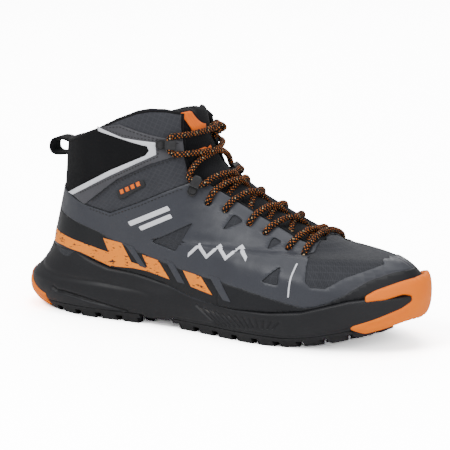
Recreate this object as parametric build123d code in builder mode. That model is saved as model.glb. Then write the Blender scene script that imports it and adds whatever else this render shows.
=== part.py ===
"""Mid-height hiking boot, right foot, in millimetres.

+Z is up and +X points to the toe.  The outer (lateral) side is -Y and the inner (medial) side is +Y.
The origin is on the ground at the middle of the boot's length.  Places on the boot are given as
(distance from the heel's rearmost point, height), and side_view() turns those into X and Z.
"""
from build123d import *
from math import cos, hypot, pi, radians, sin, tan
import os

os.makedirs("parts", exist_ok=True)

# ---------------------------------------------------------------- driving dimensions
LENGTH = 312.0            # heel to toe bumper
HALF = LENGTH / 2
REACH = 80.0              # further than any part lies from the middle plane
TOP = 165.0               # above the tongue

LUG_DEPTH = 4.5
RUBBER = 3.0              # outsole web above the lugs
BOARD = 2.0               # insole board
FOOTBED = 4.5

TEXTILE = 1.5             # outer fabric
FILM = 0.8                # overlay film, heel band and toe rand, outside the fabric
STIFFENER = 0.9           # heel counter, toe puff and lace-hole reinforcement, inside the fabric
GAP = 0.1                 # between layers of one body
LINING_DEPTH = 2.8        # outer face of the foot lining, measured in from the fabric's outer face
LINING = 0.8
FOAM_DEPTH = 6.4          # inner face of the collar foam
COLLAR_LINING_DEPTH = 7.2
TONGUE_PAD_DEPTH = 4.2    # tongue cushion's outer face
TONGUE_BASE_DEPTH = 6.2   # tongue's flat base, under the lace-hole rows
TONGUE_BACK_DEPTH = 9.0

LACE = 3.4                # cord diameter
LACE_HOLE = 4.6
HOOK_WIDTH = 6.4
HOOK_PLATE = 1.0
HOOK_MOUTH = 3.9          # clear height for the cord under the hook's cap

LATERAL = -1
MEDIAL = 1
SIDES = ((LATERAL, "lateral"), (MEDIAL, "medial"))


# ---------------------------------------------------------------- curves and outlines
def curve(points):
    """A smooth line through the points that never overshoots them; constant beyond its ends."""
    xs = [point[0] for point in points]
    ys = [point[1] for point in points]
    last = len(points) - 1
    steps = [xs[i + 1] - xs[i] for i in range(last)]
    slopes = [(ys[i + 1] - ys[i]) / steps[i] for i in range(last)]
    tilts = [slopes[0]]
    for i in range(1, last):
        if slopes[i - 1] * slopes[i] <= 0:
            tilts.append(0.0)
        else:
            before = 2 * steps[i] + steps[i - 1]
            after = steps[i] + 2 * steps[i - 1]
            tilts.append((before + after) / (before / slopes[i - 1] + after / slopes[i]))
    tilts.append(slopes[-1])

    def value(x):
        x = min(max(x, xs[0]), xs[-1])
        i = max(n for n in range(last) if xs[n] <= x)
        t = (x - xs[i]) / steps[i]
        start = ys[i] * (1 + 2 * t) * (1 - t) ** 2 + tilts[i] * steps[i] * t * (1 - t) ** 2
        end = ys[i + 1] * t * t * (3 - 2 * t) + tilts[i + 1] * steps[i] * t * t * (t - 1)
        return start + end

    return value


def side_view(points):
    """(distance from heel, height) pairs as (X, Z) pairs."""
    return [(distance - HALF, height) for distance, height in points]


def rounding(t):
    """From 0 at an end of the boot to 1 where its side runs straight."""
    t = min(max(t, 0.0), 1.0)
    return (1 - (1 - t) ** 2.1) ** (1 / 2.1)


# The upper's outer form: heel and ridge lines against height, widths against distance from the heel.
HEEL_LINE = curve([(8, 22), (28, 20.5), (44, 20.5), (71, 25), (86, 28), (102, 30), (118, 30.5), (160, 29)])
RIDGE_LINE = curve([
    (8, 304), (28, 307), (40, 309), (48, 307), (52, 304.5), (55, 301.5), (58, 297), (60, 292),
    (61.2, 286), (62, 275), (62.8, 262), (68.5, 245), (73.5, 230), (79, 216), (84.5, 204),
    (90.5, 190), (97, 178.5), (103, 168), (109, 160), (115, 153.5), (120, 149.5), (128, 145),
    (138, 142), (148, 140), (160, 137)])
BALL_WIDTH = {
    LATERAL: curve([(18, 33), (50, 34.5), (80, 35.5), (110, 36), (130, 38), (160, 44), (190, 48.5),
                    (212, 49.5), (238, 47), (265, 42), (300, 36)]),
    MEDIAL: curve([(18, 33), (50, 33.5), (80, 33.5), (110, 33), (130, 34), (160, 39), (190, 46),
                   (212, 49), (238, 48), (265, 44), (300, 39)])}
ANKLE_WIDTH = curve([(18, 26), (40, 27), (60, 31), (80, 34.5), (100, 35.5), (130, 34), (150, 31), (180, 30)])
TOE_ROUND = curve([(8, 52), (28, 55), (40, 62), (48, 84), (54, 120), (60, 150), (64, 150), (72, 130),
                   (80, 112), (95, 78), (110, 55), (123, 45), (158, 42)])
HEEL_ROUND = curve([(8, 34), (44, 34), (88, 30), (118, 30), (158, 32)])
UPPER_LEVELS = (8, 26, 38, 45, 50, 54, 57, 59.5, 61.2, 62.2, 64, 69, 76, 84, 93, 103, 114, 126, 140, 160)


def upper_half_width(distance, height, side):
    """Half the upper's width, before the heel and toe are rounded off."""
    rise = min(max((height - 33) / 70, 0.0), 1.0)
    blend = rise * rise * (3 - 2 * rise)
    low = BALL_WIDTH[side](distance)
    return low + (ANKLE_WIDTH(distance) - low) * blend


def upper_section(level, inset, side, count=12):
    """Height and half outline of one level of the upper, drawn in by inset."""
    step = 0.5
    rise = step
    run = RIDGE_LINE(level + step / 2) - RIDGE_LINE(level - step / 2)
    size = hypot(rise, run)
    front = RIDGE_LINE(level) - inset * rise / size
    height = level + inset * run / size
    rear = HEEL_LINE(level) + inset
    outline = []
    for i in range(count + 1):
        distance = rear + (front - rear) * (1 - cos(pi * i / count)) / 2
        width = upper_half_width(distance, level, side) - inset
        width *= rounding((distance - rear) / (HEEL_ROUND(level) - inset))
        width *= rounding((front - distance) / (TOE_ROUND(level) - inset))
        outline.append((distance - HALF, side * width if 0 < i < count else 0.0))
    return height, outline


# The sole's outer form.
SOLE_REAR = curve([(-2, 17), (0, 14), (6, 4.5), (13, 0.4), (16, 0), (22, 1), (30, 8), (38, 14), (46, 17.5), (56, 19)])
SOLE_FRONT = curve([(-2, 258), (0, 262), (8, 286), (14, 299), (22, 308), (30, 311), (38, 312), (46, 310.8),
                    (51, 308), (56, 303.5)])
SOLE_WIDTH = {
    LATERAL: curve([(0, 40), (43, 41), (70, 43), (100, 41.5), (130, 41.5), (160, 45.5), (190, 51), (212, 53),
                    (240, 51.5), (265, 48), (290, 43), (312, 38)]),
    MEDIAL: curve([(0, 39), (43, 39.5), (70, 40.5), (100, 38), (130, 37), (160, 42), (190, 49.5), (214, 53),
                   (240, 52), (265, 49.5), (290, 46), (312, 42)])}
SOLE_DRAFT = curve([(-2, 7), (0, 6), (6, 2.5), (13, 0), (16, 0), (22, 0.8), (30, 3), (38, 4.6), (46, 5.6), (56, 6)])
SOLE_LEVELS = (-2, 0, 3, 8, 13, 18, 24, 31, 38, 46, 51, 56)
SOLE_ROUND_REAR = 52.0
SOLE_ROUND_FRONT = 58.0


def sole_section(level, inset, side, count=14):
    """Half outline of one level of the sole, drawn in by inset."""
    rear = SOLE_REAR(level) + inset
    front = SOLE_FRONT(level) - inset
    outline = []
    for i in range(count + 1):
        distance = rear + (front - rear) * (1 - cos(pi * i / count)) / 2
        draft = SOLE_DRAFT(level) * (1 - min(max((distance - 230) / 50, 0.0), 1.0))
        width = SOLE_WIDTH[side](distance) - draft - inset
        width *= rounding((distance - rear) / (SOLE_ROUND_REAR - inset))
        width *= rounding((front - distance) / (SOLE_ROUND_FRONT - inset))
        outline.append((distance - HALF, side * width if 0 < i < count else 0.0))
    return level, outline


def form(section, levels, inset):
    """A solid through the level outlines of the upper or the sole."""
    with BuildPart() as body:
        for level in levels:
            height, lateral = section(level, inset, LATERAL)
            medial = section(level, inset, MEDIAL)[1]
            with BuildSketch(Plane.XY.offset(height)):
                with BuildLine():
                    Spline(*lateral)
                    Spline(*reversed(medial))
                make_face()
        loft(ruled=True)
    return body.part


def upper_form(inset):
    return form(upper_section, UPPER_LEVELS, inset)


def sole_form(inset):
    return form(sole_section, SOLE_LEVELS, inset)


# ---------------------------------------------------------------- lines seen from the side
TOE_END = LENGTH + 8
HEEL_END = -8
BITE_LINE = [(HEEL_END, 47), (52, 46), (66, 41.5), (81, 37.5), (103, 36), (129, 32), (151, 27), (172, 24.5),
             (190, 23.5), (218, 24.5), (242, 27.5), (261, 33), (275, 37), (290, 39), (TOE_END, 41)]
BOARD_LINE = [(HEEL_END, 29), (60, 28), (100, 25), (140, 21), (180, 18), (215, 17), (245, 19.5), (270, 25),
              (290, 30.5), (TOE_END, 38)]
GROUND_LINE = [(HEEL_END, 0), (228, 0), (250, 3), (270, 7.5), (291, 14), (306, 21), (TOE_END, 27)]
COLLAR_LINE = [(HEEL_END, 116), (20, 117), (40, 121), (58, 128.5), (70, 133.5), (87, 142), (104, 149),
               (113, 151), (123, 151), (131.5, 149)]
MEDIAL_COLLAR = [(HEEL_END, 116), (20, 117), (40, 121), (58, 127), (70, 130), (87, 135.5), (104, 141),
                 (113, 142.8), (123, 142.6), (131.8, 141)]
THROAT_LINE = [(131.5, 149), (132, 140), (136, 119), (141, 110), (147, 105), (153, 102.5), (159, 99),
               (177, 90), (196, 81.5), (208, 76.5), (220, 71.5), (229, 68.5), (236, 68.5), (239, 75)]
CUFF_SEAM = [(HEEL_END, 92), (22, 90), (41, 85), (59, 79.5), (82, 76.5), (107, 87), (126, 96), (142, 103)]
HEEL_BAND_LINE = [(HEEL_END, 76), (24, 74), (40, 69.5), (73, 61.5), (98, 53.5), (120, 48), (141, 44),
                  (160, 42), (176, 41)]
RAND_LINE = [(176, 41), (200, 37.5), (218, 34.5), (233, 31.5), (242, 30), (250, 31.2), (259, 34.2), (269, 39.5),
             (283, 49.5), (295, 54), (TOE_END, 57)]
PANEL_EDGE = [(HEEL_END, 92), (22, 90), (41, 85), (82, 107), (111, 120.5), (113.5, 124), (112, 127), (72, 133.8)]
TRIM_EDGE = [(71, 137), (92, 131.5), (117.5, 130), (118.5, 121.5), (82, 103.2), (47, 84.4)]
FOAM_EDGE = [(HEEL_END, 74), (40, 72), (85, 80), (104, 96), (111, 112), (111, TOP)]
LINING_EDGE = [(111.5, TOP), (111.5, 106), (128, 90), (155, 80), (178, 69), (205, 58), (228, 51), (240, 50),
               (246, 62), (246, TOP)]
REINFORCEMENT_EDGE = [(236, 66), (240, 58), (228, 55), (205, 62), (178, 73), (155, 84), (138, 93), (128, 104),
                      (122, 125), (120, TOP)]
TONGUE_EDGE = [(245, TOP), (245, 64), (236, 60), (220, 63), (208, 67.5), (196, 72.5), (177, 81), (159, 90),
               (147, 96), (136, 104), (129, 116), (125, 130), (124, TOP)]
TONGUE_TOP = 152.5
TONGUE_FOLD = 140.0       # the tongue bends here, just above the top crossing of the lace
PAD_EDGE = [(233, TOP), (232, 74), (220, 74.5), (208, 79.5), (196, 85), (177, 93.5), (160, 102.5), (153, 106),
            (147, 109), (143.5, 113), (139, 121), (133, 140), (132.5, TOP)]
BUMPER = [(282, 41), (291, 46.5), (299, 52), (308, 55), (TOE_END, 56), (TOE_END, 18), (306, 22.5), (291, 16),
          (280, 12.5), (274, 17), (276, 21), (291, 26), (304, 32.5), (308.5, 35.5), (306, 38), (294, 36.5),
          (284, 36)]
WINDOWS = [
    [(116, 60), (148, 76.5), (137, 55.5)],
    [(175.5, 84), (184, 79.5), (170.5, 73)],
    [(207, 71.5), (215, 68.5), (206, 63)],
    [(222.5, 56), (224, 43.5), (210.5, 45)]]
TOE_WINDOW = [(237, TOP), (237, 66), (239.5, 56), (243, 47), (247, 44), (257, 44), (267, 50.5), (287, 58.5),
              (284, 61), (283.5, TOP)]


def raised(line, amount):
    """A line moved up by an amount, or down by a negative one."""
    return [(distance, height + amount) for distance, height in line]


def side_face(*outlines):
    """Flat faces in the middle plane, one for each closed outline."""
    with BuildSketch(Plane.XZ) as face:
        for outline in outlines:
            with BuildLine():
                Polyline(*side_view(outline), close=True)
            make_face()
    return face.sketch


def between(low, high):
    """The face between a lower and an upper line, both running from heel to toe."""
    return side_face(low + high[::-1])


def trim(solid, *faces):
    """A solid cut down to what its side-view faces cover."""
    with BuildPart() as kept:
        add(solid)
        for face in faces:
            extrude(face, amount=REACH, both=True, mode=Mode.INTERSECT)
    return kept.part


def save(piece, name):
    piece.part.label = name
    export_step(piece.part, f"parts/{name}.step")


BELOW_COLLAR = side_face([(HEEL_END, -8), (TOE_END, -8), (TOE_END, TOP), (241, TOP)]
                         + THROAT_LINE[:0:-1] + COLLAR_LINE[::-1])
ABOVE_BOARD = side_face(BOARD_LINE + [(TOE_END, TOP), (HEEL_END, TOP)])
ABOVE_MEDIAL_COLLAR = side_face(MEDIAL_COLLAR[2:] + [(140, 141), (140, TOP), (40, TOP)])


def layer(outer_depth, inner_depth):
    """One layer of the upper, open at the collar and down the throat, standing on the insole board."""
    with BuildPart() as wall:
        add(upper_form(outer_depth))
        add(upper_form(inner_depth), mode=Mode.SUBTRACT)
        extrude(ABOVE_MEDIAL_COLLAR, amount=-REACH, mode=Mode.SUBTRACT)
    return trim(wall.part, BELOW_COLLAR, ABOVE_BOARD)


def surface(distance, height, side, depth=0.0):
    """A plane on the upper's outer face: z points outwards and x forwards along the boot."""
    def point(d, z):
        width = upper_half_width(d, z, side)
        width *= rounding((d - HEEL_LINE(z)) / HEEL_ROUND(z))
        width *= rounding((RIDGE_LINE(z) - d) / TOE_ROUND(z))
        return Vector(d - HALF, side * width, z)

    along = point(distance + 1, height) - point(distance - 1, height)
    upward = point(distance, height + 1) - point(distance, height - 1)
    normal = along.cross(upward).normalized() * -side
    return Plane(origin=point(distance, height) - normal * depth, x_dir=along, z_dir=normal)


# ---------------------------------------------------------------- layers and forms shared by several pieces
skin_out = upper_form(-FILM)
skin = upper_form(0.0)
sole = sole_form(0.0)
film = layer(-FILM, 0.0)
textile = layer(0.0, TEXTILE)
stiffener = layer(TEXTILE + GAP, TEXTILE + GAP + STIFFENER)

HOOKS = {"lower": (146, 104, 65), "upper": (127.8, 128.5, 0)}   # distance, height, turn in degrees
CAP_REACH = 5.0           # from the neck back to the cap's edge
RIVET_BACK = 7.5          # from the neck back to the rivet
CAP_TOP = HOOK_PLATE + HOOK_MOUTH + HOOK_PLATE
LIP = 0.7
RIVET_HEAD = 3.1
RIVET_SHANK = 1.3


def hook_plane(name, side):
    """The hook's place on the film: x runs from its rivet to its neck, z outwards."""
    distance, height, turn = HOOKS[name]
    plane = surface(distance, height, side, depth=-FILM)
    forwards = plane.x_dir * cos(radians(turn)) + plane.y_dir * (-side * sin(radians(turn)))
    return Plane(origin=plane.origin, x_dir=forwards, z_dir=plane.z_dir)


with BuildPart() as hook_rivets:
    for name in HOOKS:
        for side, word in SIDES:
            plane = hook_plane(name, side)
            seat = plane.offset(HOOK_PLATE)
            with BuildSketch(seat):
                with Locations((-RIVET_BACK, 0)):
                    Circle(RIVET_HEAD)
            extrude(amount=1.2, taper=20)
            with BuildSketch(seat):
                with Locations((-RIVET_BACK, 0)):
                    Circle(RIVET_SHANK)
            extrude(amount=-(HOOK_PLATE + FILM + TEXTILE + GAP + STIFFENER + 0.6))

LACE_HOLES = [(233, 62.3), (220, 65.3), (201, 73.5), (188, 78.4), (169, 86), (156, 90)]
with BuildPart() as punches:
    add(hook_rivets.part)
    for distance, height in LACE_HOLES:
        for side, word in SIDES:
            with BuildSketch(surface(distance, height, side)):
                Circle(LACE_HOLE / 2)
            extrude(amount=5, both=True)

# ---------------------------------------------------------------- toe bumper, with an arm above and below a slot
toe_core = trim(sole_form(RUBBER), between(raised(BITE_LINE, -90), BITE_LINE))
with BuildPart() as toe_bumper:
    add(trim(sole, side_face(BUMPER)))
    add(skin_out, mode=Mode.SUBTRACT)
    add(toe_core, mode=Mode.SUBTRACT)
save(toe_bumper, "toe_bumper")

# ---------------------------------------------------------------- crash pad at the rear centre of the heel
PAD_LENGTH = 34.0
PAD_WIDTH = 44.0
PAD_HEIGHT = 24.0
PAD_WALL = 4.0
web_top = raised(GROUND_LINE, LUG_DEPTH + RUBBER)
heel_core = trim(sole_form(PAD_WALL), side_face(web_top + [(TOE_END, 90), (HEEL_END, 90)]))
with BuildPart() as heel_crash_pad:
    with Locations((HEEL_END - HALF, 0, -5)):
        Box(PAD_LENGTH - HEEL_END, PAD_WIDTH, PAD_HEIGHT + 5, align=(Align.MIN, Align.CENTER, Align.MIN))
    add(sole, mode=Mode.INTERSECT)
    extrude(side_face(raised(GROUND_LINE, 90) + GROUND_LINE[::-1]), amount=REACH, both=True, mode=Mode.INTERSECT)
    add(heel_core, mode=Mode.SUBTRACT)
save(heel_crash_pad, "heel_crash_pad")

# ---------------------------------------------------------------- outsole: web, sidewall wrap and lugs
LUG_PITCH = 17.0
LUG_COLUMNS = (-0.86, -0.5, -0.16, 0.17, 0.5, 0.86)
lug_floor = raised(GROUND_LINE, LUG_DEPTH)
tread = trim(sole, between(GROUND_LINE, raised(lug_floor, 0.5)))
web = trim(sole, between(lug_floor, web_top))


def lug_centres(start, end):
    """Lug places from heel to toe: (row number, column number, X, Y)."""
    rows = int((end - start) / LUG_PITCH) + 1
    for row in range(rows):
        for column, share in enumerate(LUG_COLUMNS):
            stagger = LUG_PITCH / 2 if column in (1, 4) else 0
            distance = start + row * LUG_PITCH + stagger
            side = LATERAL if share < 0 else MEDIAL
            ends = min(rounding((distance + 6) / 60), rounding((LENGTH - distance - 2) / 58))
            yield row, column, distance - HALF, share * SOLE_WIDTH[side](distance) * ends


def lug_block(start, end, direction):
    """Lugs standing up from under the ground: edge blocks outside, chevrons inside."""
    with BuildPart() as block:
        with BuildSketch(Plane.XY.offset(-3)):
            for row, column, x, y in lug_centres(start, end):
                with Locations((x, y)):
                    if column in (0, 5):
                        Rectangle(12, 14)
                    else:
                        Polygon((-5 * direction, -5), (1 * direction, -5), (6 * direction, 0),
                                (1 * direction, 5), (-5 * direction, 5), (-2 * direction, 0), align=None)
        extrude(amount=40)
    return block.part


heel_lugs = lug_block(14, 100, -1)
with BuildPart() as outsole_heel:
    add(heel_lugs)
    add(tread, mode=Mode.INTERSECT)
    add(trim(web, side_face([(HEEL_END, -5), (110, -5), (104, 30), (HEEL_END, 30)])))
    add(heel_crash_pad.part, mode=Mode.SUBTRACT)
save(outsole_heel, "outsole_heel")

forefoot_lugs = lug_block(146, 290, 1)
with BuildPart() as outsole_forefoot:
    add(forefoot_lugs)
    add(tread, mode=Mode.INTERSECT)
    add(trim(web, side_face([(134, -5), (TOE_END, -5), (TOE_END, 60), (140, 60)])))
    add(toe_bumper.part, mode=Mode.SUBTRACT)
save(outsole_forefoot, "outsole_forefoot")

# ---------------------------------------------------------------- midsole, shank and insole board
SHANK_START = 75.0
SHANK_END = 172.0
SHANK_WIDTH = 28.0
SHANK = 1.5
board_bottom = raised(BOARD_LINE, -BOARD)
with BuildPart() as shank_plate:
    extrude(between(raised(BOARD_LINE, -BOARD - SHANK), board_bottom), amount=SHANK_WIDTH / 2, both=True)
    with Locations(((SHANK_START + SHANK_END) / 2 - HALF, 0, 20)):
        Box(SHANK_END - SHANK_START, SHANK_WIDTH, 40, mode=Mode.INTERSECT)
save(shank_plate, "shank_plate")

MIDSOLE_BOTTOM = [(HEEL_END, 7.5), (110, 7.5), (113, 5.5), (131, 5.5), (134, 7.5), (228, 7.5)]
foot_space = trim(skin, side_face(board_bottom + [(TOE_END, TOP), (HEEL_END, TOP)]))
with BuildPart() as midsole:
    add(sole)
    extrude(side_face(MIDSOLE_BOTTOM + web_top[2:] + BITE_LINE[::-1]), amount=REACH, both=True, mode=Mode.INTERSECT)
    add(foot_space, mode=Mode.SUBTRACT)
    add(shank_plate.part, mode=Mode.SUBTRACT)
    add(toe_bumper.part, mode=Mode.SUBTRACT)
    add(heel_crash_pad.part, mode=Mode.SUBTRACT)
save(midsole, "midsole")

with BuildPart() as insole_board:
    add(trim(skin, between(board_bottom, BOARD_LINE)))
save(insole_board, "insole_board")

FOOTBED_LIFT = 0.3
FOOTBED_DEPTH = 5.8
footbed_bottom = raised(BOARD_LINE, FOOTBED_LIFT)
with BuildPart() as footbed:
    add(trim(upper_form(FOOTBED_DEPTH), between(footbed_bottom, raised(footbed_bottom, FOOTBED))))
save(footbed, "footbed")

# ---------------------------------------------------------------- stiffeners inside the fabric
with BuildPart() as heel_counter:
    add(trim(stiffener, side_face([(HEEL_END, 0), (98, 0), (98, 36), (80, 52), (40, 64), (HEEL_END, 66)])))
save(heel_counter, "heel_counter")

with BuildPart() as toe_puff:
    add(trim(stiffener, side_face([(264, 0), (TOE_END, 0), (TOE_END, TOP), (262, TOP)])))
save(toe_puff, "toe_puff")

for side, word in SIDES:
    with BuildPart() as eyestay:
        add(stiffener)
        extrude(side_face(THROAT_LINE + REINFORCEMENT_EDGE), amount=side * -REACH, mode=Mode.INTERSECT)
        add(punches.part, mode=Mode.SUBTRACT)
    save(eyestay, f"eyestay_{word}")

# ---------------------------------------------------------------- fabric panels
with BuildPart() as vamp:
    add(trim(textile, side_face([(216, 0), (224, 50), (229, 68.5), (229, TOP), (TOE_END, TOP), (TOE_END, 0)])))
    add(punches.part, mode=Mode.SUBTRACT)
save(vamp, "vamp")

quarter_face = side_face([(HEEL_END, 0), (216, 0), (224, 50), (229, 68.5), (229, TOP), (150, TOP)] + CUFF_SEAM[::-1])
panel_face = side_face(PANEL_EDGE + [(60, TOP), (HEEL_END, TOP)])
cuff_face = side_face(CUFF_SEAM + [(150, TOP), (HEEL_END, TOP)])
overlay_face = side_face(HEEL_BAND_LINE + RAND_LINE[1:] + [(TOE_END, TOP), (150, TOP)] + CUFF_SEAM[::-1])
trim_face = side_face(PANEL_EDGE[2:] + TRIM_EDGE)
window_face = side_face(TOE_WINDOW, *WINDOWS)

for side, word in SIDES:
    reach = side * -REACH
    with BuildPart() as quarter:
        add(textile)
        extrude(quarter_face, amount=reach, mode=Mode.INTERSECT)
        add(punches.part, mode=Mode.SUBTRACT)
    save(quarter, f"quarter_{word}")

    with BuildPart() as ankle_cuff:
        add(textile)
        extrude(cuff_face, amount=reach, mode=Mode.INTERSECT)
        extrude(panel_face, amount=reach, mode=Mode.SUBTRACT)
        add(punches.part, mode=Mode.SUBTRACT)
    save(ankle_cuff, f"ankle_cuff_{word}")

    with BuildPart() as overlay:
        add(film)
        extrude(overlay_face, amount=reach, mode=Mode.INTERSECT)
        extrude(window_face, amount=reach, mode=Mode.SUBTRACT)
        add(punches.part, mode=Mode.SUBTRACT)
    save(overlay, f"overlay_{word}")

    with BuildPart() as chevron_trim:
        add(film)
        extrude(trim_face, amount=reach, mode=Mode.INTERSECT)
    save(chevron_trim, f"chevron_trim_{word}")

with BuildPart() as heel_panel:
    add(trim(textile, panel_face))
save(heel_panel, "heel_panel")

with BuildPart() as side_label:
    add(film)
    extrude(side_face([(87.5, 98.5), (88.5, 89.5), (90, 89), (107.5, 94), (111, 101), (108.5, 102.5)]),
            amount=REACH, mode=Mode.INTERSECT)
save(side_label, "side_label")

# ---------------------------------------------------------------- heel band and toe rand, outside the fabric
with BuildPart() as heel_wrap:
    add(trim(film, side_face(BITE_LINE[:9] + HEEL_BAND_LINE[::-1])))
save(heel_wrap, "heel_wrap")

with BuildPart() as toe_rand:
    add(trim(film, side_face(BITE_LINE[8:] + RAND_LINE[::-1])))
save(toe_rand, "toe_rand")

# ---------------------------------------------------------------- lining and collar padding
lining = layer(LINING_DEPTH, LINING_DEPTH + LINING)
foam_face = side_face(FOAM_EDGE + [(HEEL_END, TOP)])
with BuildPart() as inner_lining:
    add(lining)
    extrude(side_face(raised(FOAM_EDGE[:5], -0.5) + [(HEEL_END, 110)]), amount=REACH, both=True, mode=Mode.SUBTRACT)
    extrude(side_face([(HEEL_END, 95), (104, 95), (111.5, 111), (111.5, TOP), (HEEL_END, TOP)]),
            amount=REACH, both=True, mode=Mode.SUBTRACT)
    extrude(side_face(LINING_EDGE),
            amount=REACH, both=True, mode=Mode.SUBTRACT)
save(inner_lining, "inner_lining")

with BuildPart() as collar_foam:
    add(trim(layer(TEXTILE + GAP, FOAM_DEPTH - GAP), foam_face))
save(collar_foam, "collar_foam")

with BuildPart() as collar_lining:
    add(trim(layer(FOAM_DEPTH, COLLAR_LINING_DEPTH), foam_face))
save(collar_lining, "collar_lining")

BINDING_HEIGHT = 2.5
BINDING_OVERHANG = 0.4
BINDING_END = {LATERAL: (111, 150.6), MEDIAL: (111, 142.4)}
with BuildPart() as binding_band:
    for side, line in ((LATERAL, COLLAR_LINE), (MEDIAL, MEDIAL_COLLAR)):
        binding_bottom = line[:7] + [BINDING_END[side]]
        extrude(between(binding_bottom, raised(binding_bottom, BINDING_HEIGHT)), amount=side * -REACH)
with BuildPart() as collar_binding:
    add(upper_form(-BINDING_OVERHANG))
    add(upper_form(COLLAR_LINING_DEPTH + BINDING_OVERHANG), mode=Mode.SUBTRACT)
    add(binding_band.part, mode=Mode.INTERSECT)
save(collar_binding, "collar_binding")

# ---------------------------------------------------------------- tongue
with BuildPart() as tongue:
    add(upper_form(TONGUE_BASE_DEPTH))
    add(upper_form(TONGUE_BACK_DEPTH), mode=Mode.SUBTRACT)
    extrude(side_face(TONGUE_EDGE), amount=REACH, both=True, mode=Mode.INTERSECT)
with BuildPart() as cushion:
    add(upper_form(TONGUE_PAD_DEPTH))
    add(upper_form(TONGUE_BASE_DEPTH + 0.5), mode=Mode.SUBTRACT)
    extrude(side_face(PAD_EDGE), amount=REACH, both=True, mode=Mode.INTERSECT)
LOWER_TONGUE = [(100, 90), (100, TONGUE_FOLD + 2), (138, TONGUE_FOLD), (160, TONGUE_FOLD), (TOE_END, TONGUE_FOLD),
                (TOE_END, 0), (150, 0)]
UPPER_TONGUE = [(126, TONGUE_FOLD + 3.7), (138, TONGUE_FOLD + 1.2), (160, TONGUE_FOLD + 1.2), (160, TONGUE_TOP - 6),
                (142, TONGUE_TOP - 4), (137, TONGUE_TOP), (126, TONGUE_TOP)]
with BuildPart() as tongue_lower:
    add(tongue.part)
    add(cushion.part)
    extrude(side_face(LOWER_TONGUE), amount=REACH, both=True, mode=Mode.INTERSECT)
save(tongue_lower, "tongue_lower")

LABEL_FACE = [(131.5, 150), (136, 151), (143, 143), (138, 142.5)]
with BuildPart() as tongue_top:
    add(tongue.part)
    add(cushion.part)
    extrude(side_face(UPPER_TONGUE), amount=REACH, both=True, mode=Mode.INTERSECT)
save(tongue_top, "tongue_top")

with BuildPart() as tongue_label:
    add(upper_form(TONGUE_PAD_DEPTH - 0.6))
    add(upper_form(TONGUE_PAD_DEPTH), mode=Mode.SUBTRACT)
    extrude(side_face(LABEL_FACE), amount=REACH, mode=Mode.INTERSECT)
save(tongue_label, "tongue_label")

# ---------------------------------------------------------------- lace hooks
hook_profile = [(-RIVET_BACK - 4, 0), (2, 0), (3, 1), (3, CAP_TOP - 1), (2, CAP_TOP), (-CAP_REACH, CAP_TOP),
                (-CAP_REACH - LIP, CAP_TOP + LIP), (-CAP_REACH - LIP, CAP_TOP - 0.3),
                (-CAP_REACH, CAP_TOP - HOOK_PLATE), (2, CAP_TOP - HOOK_PLATE), (2, HOOK_PLATE),
                (-RIVET_BACK - 4, HOOK_PLATE)]
for name in HOOKS:
    for side, word in SIDES:
        plane = hook_plane(name, side)
        with BuildPart() as hook:
            with BuildSketch(Plane(origin=plane.origin, x_dir=plane.x_dir, z_dir=-plane.y_dir)):
                with BuildLine():
                    Polyline(*hook_profile, close=True)
                make_face()
            extrude(amount=HOOK_WIDTH / 2, both=True)
            with BuildSketch(plane):
                with Locations((-RIVET_BACK / 2 - 0.5, 0)):
                    RectangleRounded(RIVET_BACK + 7, HOOK_WIDTH, HOOK_WIDTH / 2 - 0.4)
            extrude(amount=CAP_TOP + 2, mode=Mode.INTERSECT)
            add(hook_rivets.part, mode=Mode.SUBTRACT)
        save(hook, f"hook_{name}_{word}")
save(hook_rivets, "hook_rivets")

# ---------------------------------------------------------------- pull loop and the patch it is sewn to
LOOP_WIDTH = 14.0
LOOP_STRAP = 1.6
LOOP_REAR = 13.5
LOOP_PIVOT = 21.7         # the loop swings sideways about an upright line here
LOOP_LOW = 106.5
LOOP_HIGH = 120.0
LOOP_CORNER = 5.0
loop_size = (2 * (LOOP_PIVOT + LOOP_WIDTH / 2 - LOOP_REAR), LOOP_HIGH - LOOP_LOW)
loop_middle = (LOOP_PIVOT + LOOP_WIDTH / 2 - HALF, (LOOP_LOW + LOOP_HIGH) / 2)
with BuildPart() as pull_loop:
    with BuildSketch(Plane.XZ):
        with Locations(loop_middle):
            RectangleRounded(*loop_size, LOOP_CORNER)
            RectangleRounded(loop_size[0] - 2 * LOOP_STRAP, loop_size[1] - 2 * LOOP_STRAP,
                             LOOP_CORNER - LOOP_STRAP, mode=Mode.SUBTRACT)
    extrude(amount=LOOP_WIDTH / 2, both=True)
    with BuildSketch(Plane.XY.offset(LOOP_LOW - 5)):
        with Locations((LOOP_PIVOT - HALF, 0)):
            Circle(LOOP_WIDTH / 2)
            Rectangle(100, LOOP_WIDTH, align=(Align.MAX, Align.CENTER))
    extrude(amount=LOOP_HIGH - LOOP_LOW + 10, mode=Mode.INTERSECT)
save(pull_loop, "pull_loop")

with BuildPart() as loop_anchor:
    add(upper_form(-FILM))
    add(skin, mode=Mode.SUBTRACT)
    extrude(side_face([(HEEL_END, LOOP_LOW - 3), (60, LOOP_LOW - 3), (60, LOOP_HIGH - 5.5), (HEEL_END, LOOP_HIGH - 5.5)]),
            amount=LOOP_WIDTH / 2 + 1.5, both=True, mode=Mode.INTERSECT)
    with Locations((0, 0, 110)):
        Box(400, 200, 60, align=(Align.MAX, Align.CENTER, Align.CENTER), mode=Mode.INTERSECT)
save(loop_anchor, "loop_anchor")

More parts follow.
